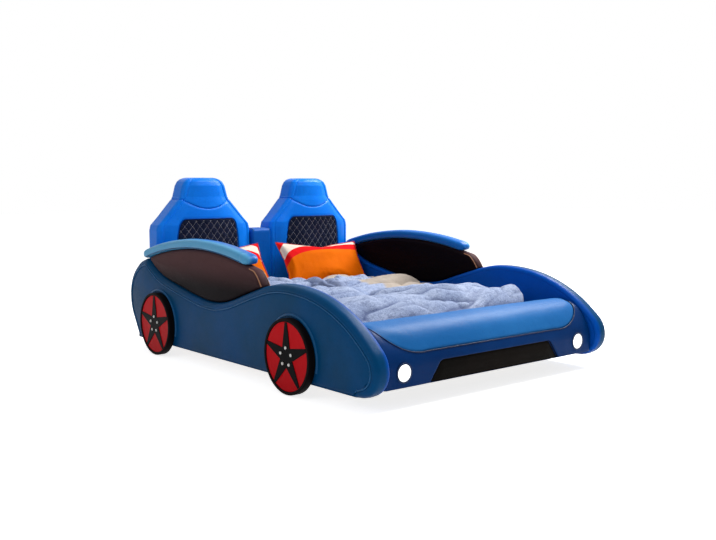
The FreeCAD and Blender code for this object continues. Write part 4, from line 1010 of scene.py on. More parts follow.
def seatGrid(columns, rows, isHead):
    grid = np.zeros((rows, len(columns), 3))
    for c, (kind, value) in enumerate(columns):
        z = np.full(1, 0.90)
        for _ in range(4):
            x = seatPlace(kind, value, z)[0]
            z = headSeam(x) if kind in ("front", "leftRound", "rightRound") else np.full(1, seat["seamEnd"])
        low, high = (z[0], levelTable[-1, 0]) if isHead else (levelTable[0, 0], z[0])
        zs = seatHeights(low, high, rows, isHead)
        x, y = seatPlace(kind, value, zs)
        grid[:, c] = np.stack([x + 0 * zs, y + 0 * zs, zs], 1)
    loops = np.roll(grid, -1, 1) - np.roll(grid, 1, 1)
    outward = np.stack([loops[..., 1], -loops[..., 0]], -1)
    outward /= np.linalg.norm(outward, axis=2)[..., None] + 1e-9
    for away, amount in enumerate(seat["seamRoll"]):
        row = away if isHead else rows - 1 - away
        grid[row, :, :2] -= outward[row] * amount
    return grid


def makeSeatPad(name, sign, isHead):
    columns = seatColumns()
    rows = seat["headRows"] if isHead else seat["bodyRows"]
    verts = seatGrid(columns, rows, isHead).reshape(-1, 3)
    if not isHead:
        flat = verts[:, [0, 2]]
        onFront = verts[:, 1] < seat["front"] + seat["frontMargin"]
        far = nearest(flat, quiltLine)
        deep, wide = quilting["lip"]
        beside = np.where(onFront, deep * np.exp(-(far / wide) ** 2), 0)
        recess = quilting["sunk"] * smoothStep(far, 0.0, quilting["bank"])
        verts[:, 1] += np.where(insideOf(flat, quiltLine) & onFront, recess, beside)
    soft = sum(ripple(verts + [sign, 0, 0], *wave) for wave in seat["waves"])
    verts[:, 1] += soft * (verts[:, 1] < seat["softTo"])
    verts[:, 0] += sign * seat["middle"]
    faces = gridFaces(rows, len(columns), wrap=True)
    faces += [[row * len(columns) + k for k in range(len(columns))] for row in (0, rows - 1)]
    return makePiece(name, verts, faces, seatLeather)


def diamonds(x, z):
    wide, tall = quilting["diamond"]
    up = (z - quilting["middle"]) / tall
    return np.abs(np.sin(math.pi * (x / wide + up))) * np.abs(np.sin(math.pi * (x / wide - up)))


def makeQuilt(side, sign):
    rows, columns = quilting["rows"], quilting["columns"]
    right = resample(quiltRight, rows)
    left = right * [-1, 1]
    bottom, top = (np.linspace(left[k], right[k], columns) for k in (0, -1))
    x, z = coonsPatch(bottom, top, left, right).reshape(-1, 2).T
    inside = smoothStep(nearest(np.column_stack([x, z]), closedLine(quiltLine)), 0.001, 0.010)
    puff = quilting["puff"] * diamonds(x, z) ** quilting["roundness"] * inside
    puff -= quilting["edgeDrop"] * (1 - inside)
    size, height, seed = quilting["waves"]
    puff += ripple(np.column_stack([x, z, 0 * x]), size, height, seed + sign) * inside
    front = np.column_stack([x + sign * seat["middle"], crownFront(x) + quilting["out"] - puff, z])
    back = front.copy()
    back[:, 1] = crownFront(x) + quilting["back"]
    verts = np.concatenate([front, back])
    return makePiece(side + "SeatQuilt", verts, slabFaces(rows, columns), quiltLeather)


def makeQuiltPiping(side, sign):
    x, z = resample(closedLine(quiltLine), 420)[:-1].T
    path = np.column_stack([x + sign * seat["middle"], crownFront(x) + quilting["pipingOut"], z])
    return cordPiece(side + "QuiltPiping", [(path, quilting["piping"], 8, True)], blueLeatherShadedOutside)


class Shaper(Net):
    # a geometry tree with named sizes
    def __init__(self, name):
        self.tree = bpy.data.node_groups.new(name, "GeometryNodeTree")
        self.tree.is_modifier = True
        for way in ("INPUT", "OUTPUT"):
            self.tree.interface.new_socket("Geometry", in_out=way, socket_type="NodeSocketGeometry")
        self.entry = self.tree.nodes.new("NodeGroupInput")

    def given(self, name):
        return Signal(self, self.entry.outputs[name])

    def size(self, name, value):
        socket = self.tree.interface.new_socket(name, in_out="INPUT", socket_type="NodeSocketFloat")
        socket.default_value = value
        return self.given(name)

    def close(self, geometry, paint):
        real = self.add("GeometryNodeRealizeInstances", inputs={0: geometry})
        painted = self.add("GeometryNodeSetMaterial", inputs={"Geometry": real, "Material": paint})
        self.add("NodeGroupOutput", inputs={0: painted})
        return self.tree


def runTree(name, verts, edges, tree, **sizes):
    # runs a tree on a wire mesh or on loose points, and keeps the result as a plain mesh
    wire = bpy.data.meshes.new(name)
    wire.from_pydata(np.asarray(verts, float).tolist(), edges, [])
    holder = linkPiece(name, wire)
    modifier = holder.modifiers.new("tree", "NODES")
    modifier.node_group = tree
    for socket in tree.interface.items_tree:
        if socket.in_out == "INPUT" and socket.name in sizes:
            modifier[socket.identifier] = sizes[socket.name]
    return keepShape(holder)


def stitchTree(name, paint):
    # lays short threads along every line of a wire mesh
    net = Shaper(name)
    step = net.size("Step", stitch["step"])
    length = net.size("Length", stitch["length"])
    radius = net.size("Radius", stitch["radius"])
    curve = net.add("GeometryNodeMeshToCurve", inputs={0: net.given("Geometry")})
    points = net.add("GeometryNodeCurveToPoints", {"mode": "LENGTH"}, {"Curve": curve, "Length": step})
    thread = net.add("GeometryNodeMeshIcoSphere", inputs={"Radius": 1.0, "Subdivisions": 1})
    size = net.add("ShaderNodeCombineXYZ", inputs={0: radius, 1: radius, 2: length})
    laid = net.add("GeometryNodeInstanceOnPoints", inputs={
        "Points": points, "Instance": thread, "Rotation": points.sibling("Rotation"), "Scale": size})
    return net.close(laid, paint)


def threadPaint(name, colour):
    paint = Paint(name)
    where = paint.place()
    twist = paint.weave(where, 900.0, "DIAGONAL")
    tone = paint.mix(twist, colour, darker(colour, 0.6))
    return paint.finish(tone, paint.noise(where, 300) * 0.2 + 0.45, paint.bump(twist, 0.0002, 0.6))


paleStitches = stitchTree("paleStitches", threadPaint("paleThread", linear(206, 204, 212)))


def quiltStitches(side, sign):
    verts, edges = [], []
    wide, tall = quilting["diamond"]
    z = np.arange(*stitch["heights"])
    for tilt in (1, -1):
        for k in range(-stitch["lines"], stitch["lines"] + 1):
            x = wide * (k - tilt * (z - quilting["middle"]) / tall)
            flat = np.column_stack([x, z])
            keep = insideOf(flat, quiltLine) & (nearest(flat, quiltLine) > stitch["fromEdge"])
            joined = False
            for (px, pz), inside in zip(flat, keep):
                if inside:
                    verts.append((px + sign * seat["middle"], crownFront(px) + stitch["out"], pz))
                    if joined:
                        edges.append((len(verts) - 2, len(verts) - 1))
                joined = inside
    return runTree(side + "QuiltStitches", verts, edges, paleStitches, Length=stitch["length"] / 2)


for side, sign in bothSides:
    seatPad = makeSeatPad(side + "SeatPad", sign, False)
    headPad = makeSeatPad(side + "HeadrestPad", sign, True)
    dress(seatPad, f"{side}_seat_pad")
    dress(headPad, f"{side}_headrest_pad")
    dress(makeQuilt(side, sign), f"{side}_seat_quilt")
    dress(makeQuiltPiping(side, sign))
    dress(quiltStitches(side, sign))
print("seats made")


def roundedBox(name, facts, paint):
    # a block with round edges whose faces swell a little
    low, high, radius = np.array(facts["low"]), np.array(facts["high"]), facts["round"]
    middle, half = (low + high) / 2, (high - low) / 2
    bend = radius * (1 - np.cos(np.linspace(0, math.pi / 2, 7)))[:-1]
    marks = [np.concatenate([-h + bend, np.linspace(-h + radius, h - radius, count), (h - bend)[::-1]])
             for h, count in zip(half, facts["counts"])]
    verts, faces, index = [], [], {}

    def corner(key):
        if key not in index:
            p = np.array([mark[k] for mark, k in zip(marks, key)])
            inner = np.clip(p, -half + radius, half - radius)
            away = p - inner
            length = np.linalg.norm(away)
            placed = inner + away * (radius / length) if length > 0 else p
            share = 1 - (np.abs(p) / half) ** 2
            for axis, swell in enumerate(facts["puff"]):
                if abs(abs(p[axis]) - half[axis]) < 1e-9:
                    beside = np.delete(share, axis)
                    placed[axis] += math.copysign(swell * max(0, beside[0] * beside[1]) ** 0.5, p[axis])
            index[key] = len(verts)
            verts.append(placed + middle)
        return index[key]

    sizes = [len(mark) for mark in marks]
    for axis in range(3):
        a, b = [o for o in range(3) if o != axis]
        for end in (0, sizes[axis] - 1):
            for i in range(sizes[a] - 1):
                for j in range(sizes[b] - 1):
                    face = []
                    for di, dj in ((0, 0), (1, 0), (1, 1), (0, 1)):
                        key = [0, 0, 0]
                        key[axis], key[a], key[b] = end, i + di, j + dj
                        face.append(corner(tuple(key)))
                    faces.append(face)
    verts = np.array(verts)
    verts += ripple(verts, 0.15, facts["waviness"], facts["seed"])[:, None]
    return makePiece(name, verts, faces, paint)


block = {"low": (-0.0784, 0.952, 0.170), "high": (0.0784, 1.088, 0.728), "round": 0.020,
         "counts": (16, 14, 60), "puff": (0, 0.006, 0.006), "waviness": 0.0010, "seed": 4,
         "piping": 0.0030, "pipingX": 0.0644, "pipingFront": 0.9545, "pipingFoot": 0.20, "pipingBend": 0.708,
         "pipingRound": (0.016, 0.0205), "pipingTop": 0.7285, "pipingBack": (0.975, 1.07)}


def blockCords():
    # up the front, over the rounded edge and back along the top
    front, bend, (deep, tall) = block["pipingFront"], block["pipingBend"], block["pipingRound"]
    line = [(front, z) for z in np.linspace(block["pipingFoot"], bend, 60)]
    line += [(front + deep * (1 - math.cos(a)), bend + tall * math.sin(a))
             for a in np.linspace(0.1, math.pi / 2, 10)]
    line += [(y, block["pipingTop"]) for y in np.linspace(*block["pipingBack"], 14)]
    return [(np.insert(line, 0, sign * block["pipingX"], axis=1), block["piping"]) for _, sign in bothSides]


dress(roundedBox("centreBlock", block, shadedBlockLeather), "centre_block")
dress(cordPiece("centreBlockPiping", blockCords(), shadedPipingBlue))
print("centre block made")


# wheels

def lathe(profile, segments, place):
    # turns (depth, radius) points round an axis; place maps (depth, across, up) to the frame
    verts, rows = [], []
    for depth, radius in profile:
        count = segments if radius > weld else 1
        rows.append([len(verts) + k for k in range(count)])
        for k in range(count):
            angle = math.tau * k / segments
            verts.append(place(depth, radius * math.cos(angle), radius * math.sin(angle)))
    faces = []
    for a, b in zip(rows, rows[1:]):
        for k in range(segments):
            n = (k + 1) % segments
            if len(a) == 1 and len(b) > 1:
                faces.append([a[0], b[k], b[n]])
            elif len(b) == 1 and len(a) > 1:
                faces.append([a[k], a[n], b[0]])
            elif len(a) > 1:
                faces.append([a[k], a[n], b[n], b[k]])
    return verts, faces


def spokeAngles():
    return [math.pi / 2 + math.tau / wheel["spokes"] * k for k in range(wheel["spokes"])]


def starOutline():
    points = []
    for angle in spokeAngles():
        along, across = headingOf(math.degrees(angle)), np.array([-math.sin(angle), math.cos(angle)])
        points += [along * wheel["tip"] + across * half * wheel["tipHalf"] for half in (-1, 1)]
        points.append(wheel["notch"] * headingOf(math.degrees(angle + math.pi / wheel["spokes"])))
    return points


def makeStar(name, place):
    # a flat star with its upper edges rounded; it keeps flat faces
    built = bmesh.new()
    face = built.faces.new([built.verts.new((0, *p)) for p in starOutline()])
    lifted = bmesh.ops.extrude_face_region(built, geom=[face])
    bmesh.ops.translate(built, verts=[v for v in lifted["geom"] if isinstance(v, bmesh.types.BMVert)],
                        vec=(wheel["star"], 0, 0))
    top = [e for e in built.edges if all(v.co.x > wheel["star"] / 2 for v in e.verts)]
    bmesh.ops.bevel(built, geom=top, offset=wheel["starRound"], segments=3, affect="EDGES", profile=0.6)
    bmesh.ops.triangulate(built, faces=[f for f in built.faces if len(f.verts) > 4])
    for v in built.verts:
        v.co = place(wheel["starOut"] + v.co.x, v.co.y, v.co.z)
    mesh = bpy.data.meshes.new(name)
    bmesh.ops.recalc_face_normals(built, faces=built.faces)
    built.to_mesh(mesh)
    built.free()
    return linkPiece(name, mesh, starPaint, smooth=False)


def nutTree():
    # a six-sided nut with a low dome on each point
    net = Shaper("lugNuts")
    radius = net.size("Radius", wheel["nut"])
    height = net.size("Height", wheel["nutHeight"])
    body = net.add("GeometryNodeMeshCylinder", inputs={"Vertices": 6, "Radius": radius, "Depth": height})
    dome = net.add("GeometryNodeMeshUVSphere", inputs={"Segments": 16, "Rings": 8, "Radius": radius})
    squat = net.add("GeometryNodeTransform", inputs={"Geometry": dome, "Scale": (0.84, 0.84, 0.5),
                                                     "Translation": (0, 0, 0.0012)})
    joined = net.add("GeometryNodeJoinGeometry", inputs={0: [body, squat]})
    laid = net.add("GeometryNodeInstanceOnPoints", inputs={
        "Points": net.given("Geometry"), "Instance": joined, "Rotation": (0, math.pi / 2, 0)})
    return net.close(laid, nutPaint)


nutPoints = []
for side, sign in bothSides:
    for end, (wheelY, wheelZ) in zip(("front", "rear"), wheel["centres"]):
        def place(depth, across, up):
            return (sign * (panel["outerX"] + depth), wheelY + across, wheelZ + up)

        title = f"{side}{end.capitalize()}Wheel"
        node = f"{side}_{end}_wheel"
        tyre = makePiece(title + "Tyre", *lathe(wheel["tyre"], wheel["segments"], place), tyrePaint)
        face = makePiece(title + "Face", *lathe(wheel["face"], wheel["faceSegments"], place), redPaint)
        dress(tyre, node + "_tyre")
        dress(face, node + "_face")
        dress(makeStar(title + "Star", place), node + "_star")
        nutPoints += [place(wheel["nutOut"], *(wheel["nutCircle"] * headingOf(math.degrees(a))))
                      for a in spokeAngles()]
dress(runTree("lugNutSet", nutPoints, [], nutTree()), "wheel_nuts")
print("wheels made")


# cloth: a piece is simulated, and its result is kept

def simulate(piece, frames, settings):
    scene = bpy.context.scene
    cloth = piece.modifiers.new("cloth", "CLOTH")
    cloth.settings.effector_weights.gravity = 0.0
    for key, value in settings.items():
        setattr(cloth.settings, key, value)
    cloth.point_cache.frame_start, cloth.point_cache.frame_end = 1, frames
    for step in range(1, frames + 1):
        scene.frame_set(step)
    shaped = piece.evaluated_get(bpy.context.evaluated_depsgraph_get())
    places = np.array([v.co[:] for v in shaped.data.vertices])
    piece.modifiers.clear()
    scene.frame_set(1)
    return places


def capped(start, moved, most):
    # no point goes further than most
    away = moved - start
    length = np.linalg.norm(away, axis=1)[:, None] + 1e-12
    return start + away * np.minimum(1, most / length)


def clothPaint(name, tone, dark, scale=900, gloss=0.8):
    # plain woven cotton
    paint = Paint(name)
    where = paint.place()
    weave, cross = (paint.weave(where, scale, letter, 1.5) for letter in "XY")
    cloud = paint.noise(where, 7, 4)
    threads = weave * 0.5 + cross * 0.5
    colour = paint.mix(threads.between(0.2, 0.8) * 0.35, dark, tone)
    colour = paint.mix(cloud.between(0.35, 0.75) * 0.25, colour, dark)
    return paint.finish(colour, cloud * 0.1 + (gloss - 0.05), paint.bump(threads, 0.0004, 0.5),
                        Sheen_Weight=0.25, Sheen_Roughness=0.4)


# mattress: a padded block with a tape round its upper and its lower edge

mattress = {
    "low": (-0.749, -0.850, 0.1655), "high": (0.749, 0.948, 0.3225), "round": 0.030, "counts": (70, 80, 8),
    "puff": (0.001, 0.001, 0.0035), "waviness": 0.0012, "seed": 7,
    "tape": 0.0045, "tapeIn": 0.022, "tapeCorner": 0.045, "tapeBend": 0.0435,
}


def mattressTapes():
    low, high = np.array(mattress["low"]), np.array(mattress["high"])
    middle, half = ((low + high) / 2)[:2], ((high - low) / 2)[:2] - mattress["tapeCorner"]
    line = []
    for turn, way in enumerate(((1, 1), (-1, 1), (-1, -1), (1, -1))):
        corner = middle + half * way
        line += [corner + mattress["tapeBend"] * headingOf(math.degrees(a) + 90 * turn)
                 for a in np.linspace(0, math.pi / 2, 8)]
    flat = resample(closedLine(np.array(line)), 480)[:-1]
    return [(np.insert(flat, 2, z, axis=1), mattress["tape"], 8, True)
            for z in (low[2] + mattress["tapeIn"], high[2] - mattress["tapeIn"])]


sheetPaint = clothPaint("sheetPaint", linear(214, 210, 202), linear(180, 176, 170))
tapePaint = clothPaint("tapePaint", linear(120, 132, 158), linear(90, 100, 128))
dress(roundedBox("mattressPad", mattress, sheetPaint), "mattress")
dress(cordPiece("mattressTape", mattressTapes(), tapePaint))
print("mattress made")


# pillows: two panels sewn at the rim and blown up

pillow = {
    "width": 0.700, "height": 0.372, "columns": 72, "rows": 40, "bow": (0.020, 0.035),
    "rimRise": (0.012, 0.04),
    "frames": 24, "most": 0.12, "quickRise": 0.045, "thickness": 0.150, "flatBack": 0.080, "backShare": 0.5,
    "sag": 0.006, "pull": 0.55, "centre": (0.405, 0.790, 0.474), "lean": -33, "sway": 2.0,
    "waves": ((0.10, 0.004), (0.035, 0.0012)), "piping": 0.0026,
    "cloth": {"quality": 5, "use_pressure": True, "uniform_pressure_force": 1.6, "mass": 0.2,
              "shrink_min": 0.02, "tension_stiffness": 25, "compression_stiffness": 25, "shear_stiffness": 12,
              "bending_stiffness": 0.4},
}
# shares of the pillow's width and height: where the bands start, how they turn down at one end,
# and how far each corner's colour reaches, with its slant
stripes = {"red": 0.745, "cream": 0.895, "fade": 0.006, "turnDown": 0.30, "turnRate": 7.5,
           "corners": ((0.098, 0.55), (0.060, 0.8))}


def pillowPaint():
    # orange cotton with a red and a cream band that follow the top and turn down at one end, and red corners
    paint = Paint("pillowPaint")
    uv = paint.add("ShaderNodeTexCoord", output="UV")
    u, v = paint.axis(uv, "X"), paint.axis(uv, "Y")
    where = paint.place()
    fade = stripes["fade"]
    band = v + (u * -stripes["turnRate"]).calc("EXPONENT") * stripes["turnDown"]
    cloud = paint.noise(where, 6, 4).between(0.3, 0.7)
    orange = paint.mix(cloud * 0.5, linear(226, 106, 1), linear(210, 90, 0))
    red = linear(222, 20, 26)
    colour = paint.mix(band.between(stripes["red"], stripes["red"] + fade), orange, red)
    colour = paint.mix(band.between(stripes["cream"], stripes["cream"] + fade), colour, linear(226, 212, 196))
    for fromEnd, (reach, slant) in zip((u, 1 - u), stripes["corners"]):
        corner = fromEnd + (1 - v) * slant
        colour = paint.mix(corner.between(reach, reach + fade), red, colour)
    weave = paint.weave(where, 700, "DIAGONAL", 1.0)
    fold = paint.noise(paint.stretch(where, (1, 1, 1.4)), 16, 4, 0.55)
    colour = paint.mix(weave.between(0.2, 0.9) * 0.12, colour, (0.02, 0.01, 0.0))
    normal = paint.bump(weave, 0.0003, 0.5, paint.bump(fold, 0.004, 0.35))
    return paint.finish(colour, fold * 0.15 + 0.68, normal, Sheen_Weight=0.01, Sheen_Roughness=0.4,
                        Specular_IOR_Level=0.03)


pillowCloth = pillowPaint()
pipingOrange = clothPaint("pipingOrange", linear(206, 60, 20), linear(170, 30, 14))


def flatPillow():
    # both panels on one grid each, sharing the rim; the rim bows in a little between the corners
    u, v = np.meshgrid(np.linspace(0, 1, pillow["columns"]), np.linspace(0, 1, pillow["rows"]))
    sideBow, endBow = pillow["bow"]
    x = (u - 0.5) * pillow["width"] * (1 - sideBow * np.sin(math.pi * v))
    z = (v - 0.5) * pillow["height"] * (1 - endBow * np.sin(math.pi * u))
    rim = np.minimum(np.minimum(u, 1 - u) * pillow["width"], np.minimum(v, 1 - v) * pillow["height"])
    rise, reach = pillow["rimRise"]
    depth = rise * smoothStep(rim, 0.0, reach)
    panels = [np.stack([x, way * depth, z], -1).reshape(-1, 3) for way in (-1, 1)]
    return np.concatenate(panels), np.stack([u.ravel(), v.ravel()], 1)


def pillowShape():
    # one blown-up shape serves for both pillows
    verts, uv = flatPillow()
    across, up = pillow["columns"], pillow["rows"]
    count = across * up
    rim = borderOf(up, across)
    shared = {count + k: k for k in rim}
    faces = gridFaces(up, across)
    faces += [[shared.get(k, k) for k in face][::-1] for face in gridFaces(up, across, start=count)]
    used = sorted({k for face in faces for k in face})
    index = {k: i for i, k in enumerate(used)}
    faces = [[index[k] for k in face] for face in faces]
    places = verts[used]
    piece = makePiece("pillowTry", places, faces, pillowCloth)
    moved = capped(places, simulate(piece, pillow["frames"], pillow["cloth"]), pillow["most"])
    moved[:, [0, 2]] = places[:, [0, 2]] + (moved - places)[:, [0, 2]] * pillow["pull"]
    bpy.data.objects.remove(piece)
    moved = moved - (moved.max(0) + moved.min(0)) / 2
    moved[:, 1] *= pillow["thickness"] / (moved[:, 1].max() - moved[:, 1].min())
    return moved, faces, np.concatenate([uv, uv])[used], [index[k] for k in rim]


def makePillow(name, sign, seed, shape):
    moved, faces, marks, rim = shape
    moved = moved.copy()
    rest = pillow["flatBack"] / 2
    pressed = rest + (moved[:, 1] - rest) * pillow["backShare"]
    moved[:, 1] = np.where(moved[:, 1] > rest, pressed, moved[:, 1])
    waves = enumerate(pillow["waves"])
    wrinkle = sum(ripple(moved + [seed, 0, 0], *wave, seed + number) for number, wave in waves)
    moved[:, 1] += wrinkle * smoothStep(np.abs(moved[:, 1]), 0.004, 0.03)
    dip = 1 - (moved[:, 0] / (pillow["width"] / 2)) ** 2
    moved[:, 2] -= pillow["sag"] * dip * smoothStep(moved[:, 2], 0, 0.16)
    turn = np.array((Matrix.Rotation(math.radians(pillow["lean"]), 3, "X")
                     @ Matrix.Rotation(math.radians(pillow["sway"] * sign), 3, "Y")))
    placed = moved @ turn.T + np.array(pillow["centre"]) * [sign, 1, 1]
    piece = makePiece(name, placed, faces, pillowCloth)
    layer = piece.data.uv_layers.new(name="cloth")
    loops = np.array([loop.vertex_index for loop in piece.data.loops])
    along = marks if sign > 0 else np.stack([1 - marks[:, 0], marks[:, 1]], 1)
    layer.data.foreach_set("uv", along[loops].astype(np.float32).ravel())
    piping = cordPiece(name + "Piping", [(placed[rim], pillow["piping"], 8, True)], pipingOrange)
    finer = piece.modifiers.new("finer", "SUBSURF")
    finer.levels = finer.render_levels = 1
    return keepShape(piece), piping


blownPillow = pillowShape()
for (side, sign), seed in zip(bothSides, (71, 83)):
    filled, piping = makePillow(side + "Pillow", sign, seed, blownPillow)
    dress(filled, f"{side}_pillow")
    dress(piping)
print("pillows made")


# duvet: a quilt that lies in loose folds, turned back and bunched below the pillows

duvet = {
    "half": 0.738, "foot": -0.822, "head": 0.650, "columns": 250, "rows": 250, "floor": 0.3256,
    "edge": 0.085, "edgeLow": 0.62, "edgeReach": 0.16, "corner": (0.075, 7), "easing": 0.6,
    "right": 0.030, "rightOver": (0.1, 0.74), "rightAlong": (-0.2, 0.8),  # drawn in towards the foot
    "crowding": 1.12, "rimWaves": (0.30, 0.010, 97), "rimShare": 0.9,
    # folds: sizes, heights and seeds of the waves; drift bends what they are drawn on
    "base": 0.022, "folds": ((0.42, 0.064, 93), (0.17, 0.020, 94)), "fine": (0.05, 0.0015, 95),
    "drift": (0.26, 0.10), "squeeze": 1.9, "spin": 0.5, "ridge": 1.9, "ridgePower": 0.62,
    # rolls at the head end: points of (x, y), height at each, and half-width
    "rolls": [
        ([(-0.72, 0.52), (-0.42, 0.50), (-0.20, 0.52), (0.02, 0.40)], [0.085, 0.135, 0.145, 0.105], 0.090),
        ([(-0.04, 0.44), (0.04, 0.28), (0.02, 0.10), (-0.08, -0.08)], [0.112, 0.118, 0.100, 0.070], 0.070),
        ([(0.12, 0.38), (0.26, 0.42), (0.44, 0.42), (0.58, 0.50)], [0.090, 0.112, 0.100, 0.070], 0.068),
        ([(-0.70, 0.20), (-0.45, 0.26), (-0.22, 0.20)], [0.070, 0.092, 0.066], 0.064)],
    "rollWaves": (0.13, 0.35, 96), "rollCrease": (0.075, 0.22, 101), "darkRolls": (1,),
    # the turned-back edge crosses the bed; behind it the reverse side shows, right of reverseFrom
    "turn": [(-0.74, -0.02), (-0.40, -0.20), (-0.05, -0.20), (0.38, -0.24), (0.74, -0.52)],
    "turnHeight": 0.026, "turnLip": (0.008, 0.022, 0.018), "reverseFrom": (0.22, 0.27),
    # a dent: x, y, width and depth; hollows get painted shade, the darker the deeper they lie under what is
    # around them
    "tuck": (0.10, -0.80, 0.085, 0.030), "shadeReach": 34, "shadeDeep": 0.011,
}


def billow(points, size, seed):
    # round ridges with sharp valleys between them, from 0 to about 1
    return np.abs(ripple(points, size, duvet["ridge"], seed)) ** duvet["ridgePower"]


def turnedBack(x, y, drift):
    # distance behind the wavy turned-back edge
    line = resample(np.array(duvet["turn"]), 60)
    return y - np.interp(x, line[:, 0], line[:, 1]) + drift[:, 0] * 0.9


def rollHeights(flat, drift, number):
    # height of one roll, 0 beside it
    path, tops, wide = duvet["rolls"][number]
    at = flat + drift * 0.5
    best, top = np.full(len(flat), 1e9), np.zeros(len(flat))
    for px, py, pz in resample(np.column_stack([path, tops]), 40):
        far = np.hypot(at[:, 0] - px, at[:, 1] - py)
        closer = far < best
        best, top = np.where(closer, far, best), np.where(closer, pz, top)
    size, share, seed = duvet["rollWaves"]
    spread = wide * (1 + ripple(flat, size, share, seed + number))
    domed = np.sqrt(np.clip(1 - (best / spread) ** 2, 0, 1))
    size, share, seed = duvet["rollCrease"]
    creased = top * (1 - share * (1 - billow(flat + drift, size, seed + number)) * domed)
    return creased * domed ** 0.8


def duvetHeights(x, y):
    flat = np.column_stack([x, y, 0 * x])
    size, amount = duvet["drift"]
    drift = np.column_stack([ripple(flat, size, amount, 91), ripple(flat, size, amount, 92), 0 * x])
    bent = flat + drift
    long = bent * [1.0, duvet["squeeze"], 1] @ np.array(Matrix.Rotation(duvet["spin"], 3, "Z"))
    height = np.full(len(x), duvet["base"])
    for number, (size, rise, seed) in enumerate(duvet["folds"]):
        height += rise * billow(long + [0, 4 * number, 0], size, seed)
    size, rise, seed = duvet["fine"]
    height += rise * billow(bent, size, seed)
    behind = turnedBack(x, y, drift)
    height += duvet["turnHeight"] * (1 - smoothStep(behind, -0.010, 0.006))
    rise, away, wide = duvet["turnLip"]
    height += rise * np.exp(-((behind + away) / wide) ** 2)
    reverse = smoothStep(behind, 0.0, 0.008) * smoothStep(x + drift[:, 1] * 2, *duvet["reverseFrom"])
    inner = np.zeros(len(x))
    for number in range(len(duvet["rolls"])):
        rolled = rollHeights(flat, drift, number)
        over = rolled > height
        height = np.where(over, rolled, height)
        reverse = np.where(over, 0, reverse)
        inner = np.where(over, float(number in duvet["darkRolls"]), inner)
    cx, cy, wide, deep = duvet["tuck"]
    height -= deep * np.exp(-(((x - cx) / wide) ** 2 + ((y - cy) / (wide * 0.6)) ** 2) ** 1.5)
    return height, reverse, inner


def duvetPaint(name, light, dark, speckAndShade, back):
    # soft brushed cotton, flecked like marl; the cloth's reverse is plainer; where inner is set, the rolls'
    # patterned side and painted shade in the hollows darken it
    paint = Paint(name)
    where = paint.place()
    cloud = paint.noise(where, 4.5, 4)
    fleck = paint.noise(paint.stretch(where, (1, 2.0, 1)), 150, 3, 0.7)
    mottle = paint.noise(where, 34, 5, 0.65)
    colour = paint.mix(cloud.between(0.3, 0.7) * 0.6, light, dark)
    colour = paint.mix(mottle.between(0.46, 0.66) * 0.35, colour, speckAndShade)
    colour = paint.mix(fleck.between(0.52, 0.64) * 0.55, colour, speckAndShade)
    colour = paint.mix(fleck.between(0.30, 0.42), tuple(min(1, c * 1.5 + 0.05) for c in light), colour)
    # painted shade in the hollows, with the rolls' darker patterned side, mixes towards the dark speck colour
    rolled = paint.add("ShaderNodeAttribute", {"attribute_name": "inner"}, output="Fac")
    colour = paint.mix(rolled * 0.7, colour, speckAndShade)
    turned = paint.add("ShaderNodeAttribute", {"attribute_name": "reverse"}, output="Fac")
    plain = paint.mix(mottle.between(0.4, 0.7) * 0.4, back, darker(back, 0.7))
    colour = paint.mix(turned, colour, plain)
    crease = paint.noise(paint.stretch(where, (1, 1.5, 1)), 26, 5, 0.62)
    normal = paint.bump(fleck, 0.0006, 0.6, paint.bump(crease, 0.005, 0.3))
    return paint.finish(colour, cloud * 0.1 + 0.78, normal, Sheen_Weight=0.08, Sheen_Roughness=0.45,
                        Specular_IOR_Level=0.08)


duvetCloth = duvetPaint("duvetCloth", linear(166, 178, 204), linear(112, 130, 168), linear(44, 60, 104),
                        linear(172, 160, 148))


def beside(level):
    # the mean of the four neighbours, for every point off the border
    return (level[:-2, 1:-1] + level[2:, 1:-1] + level[1:-1, :-2] + level[1:-1, 2:]) / 4


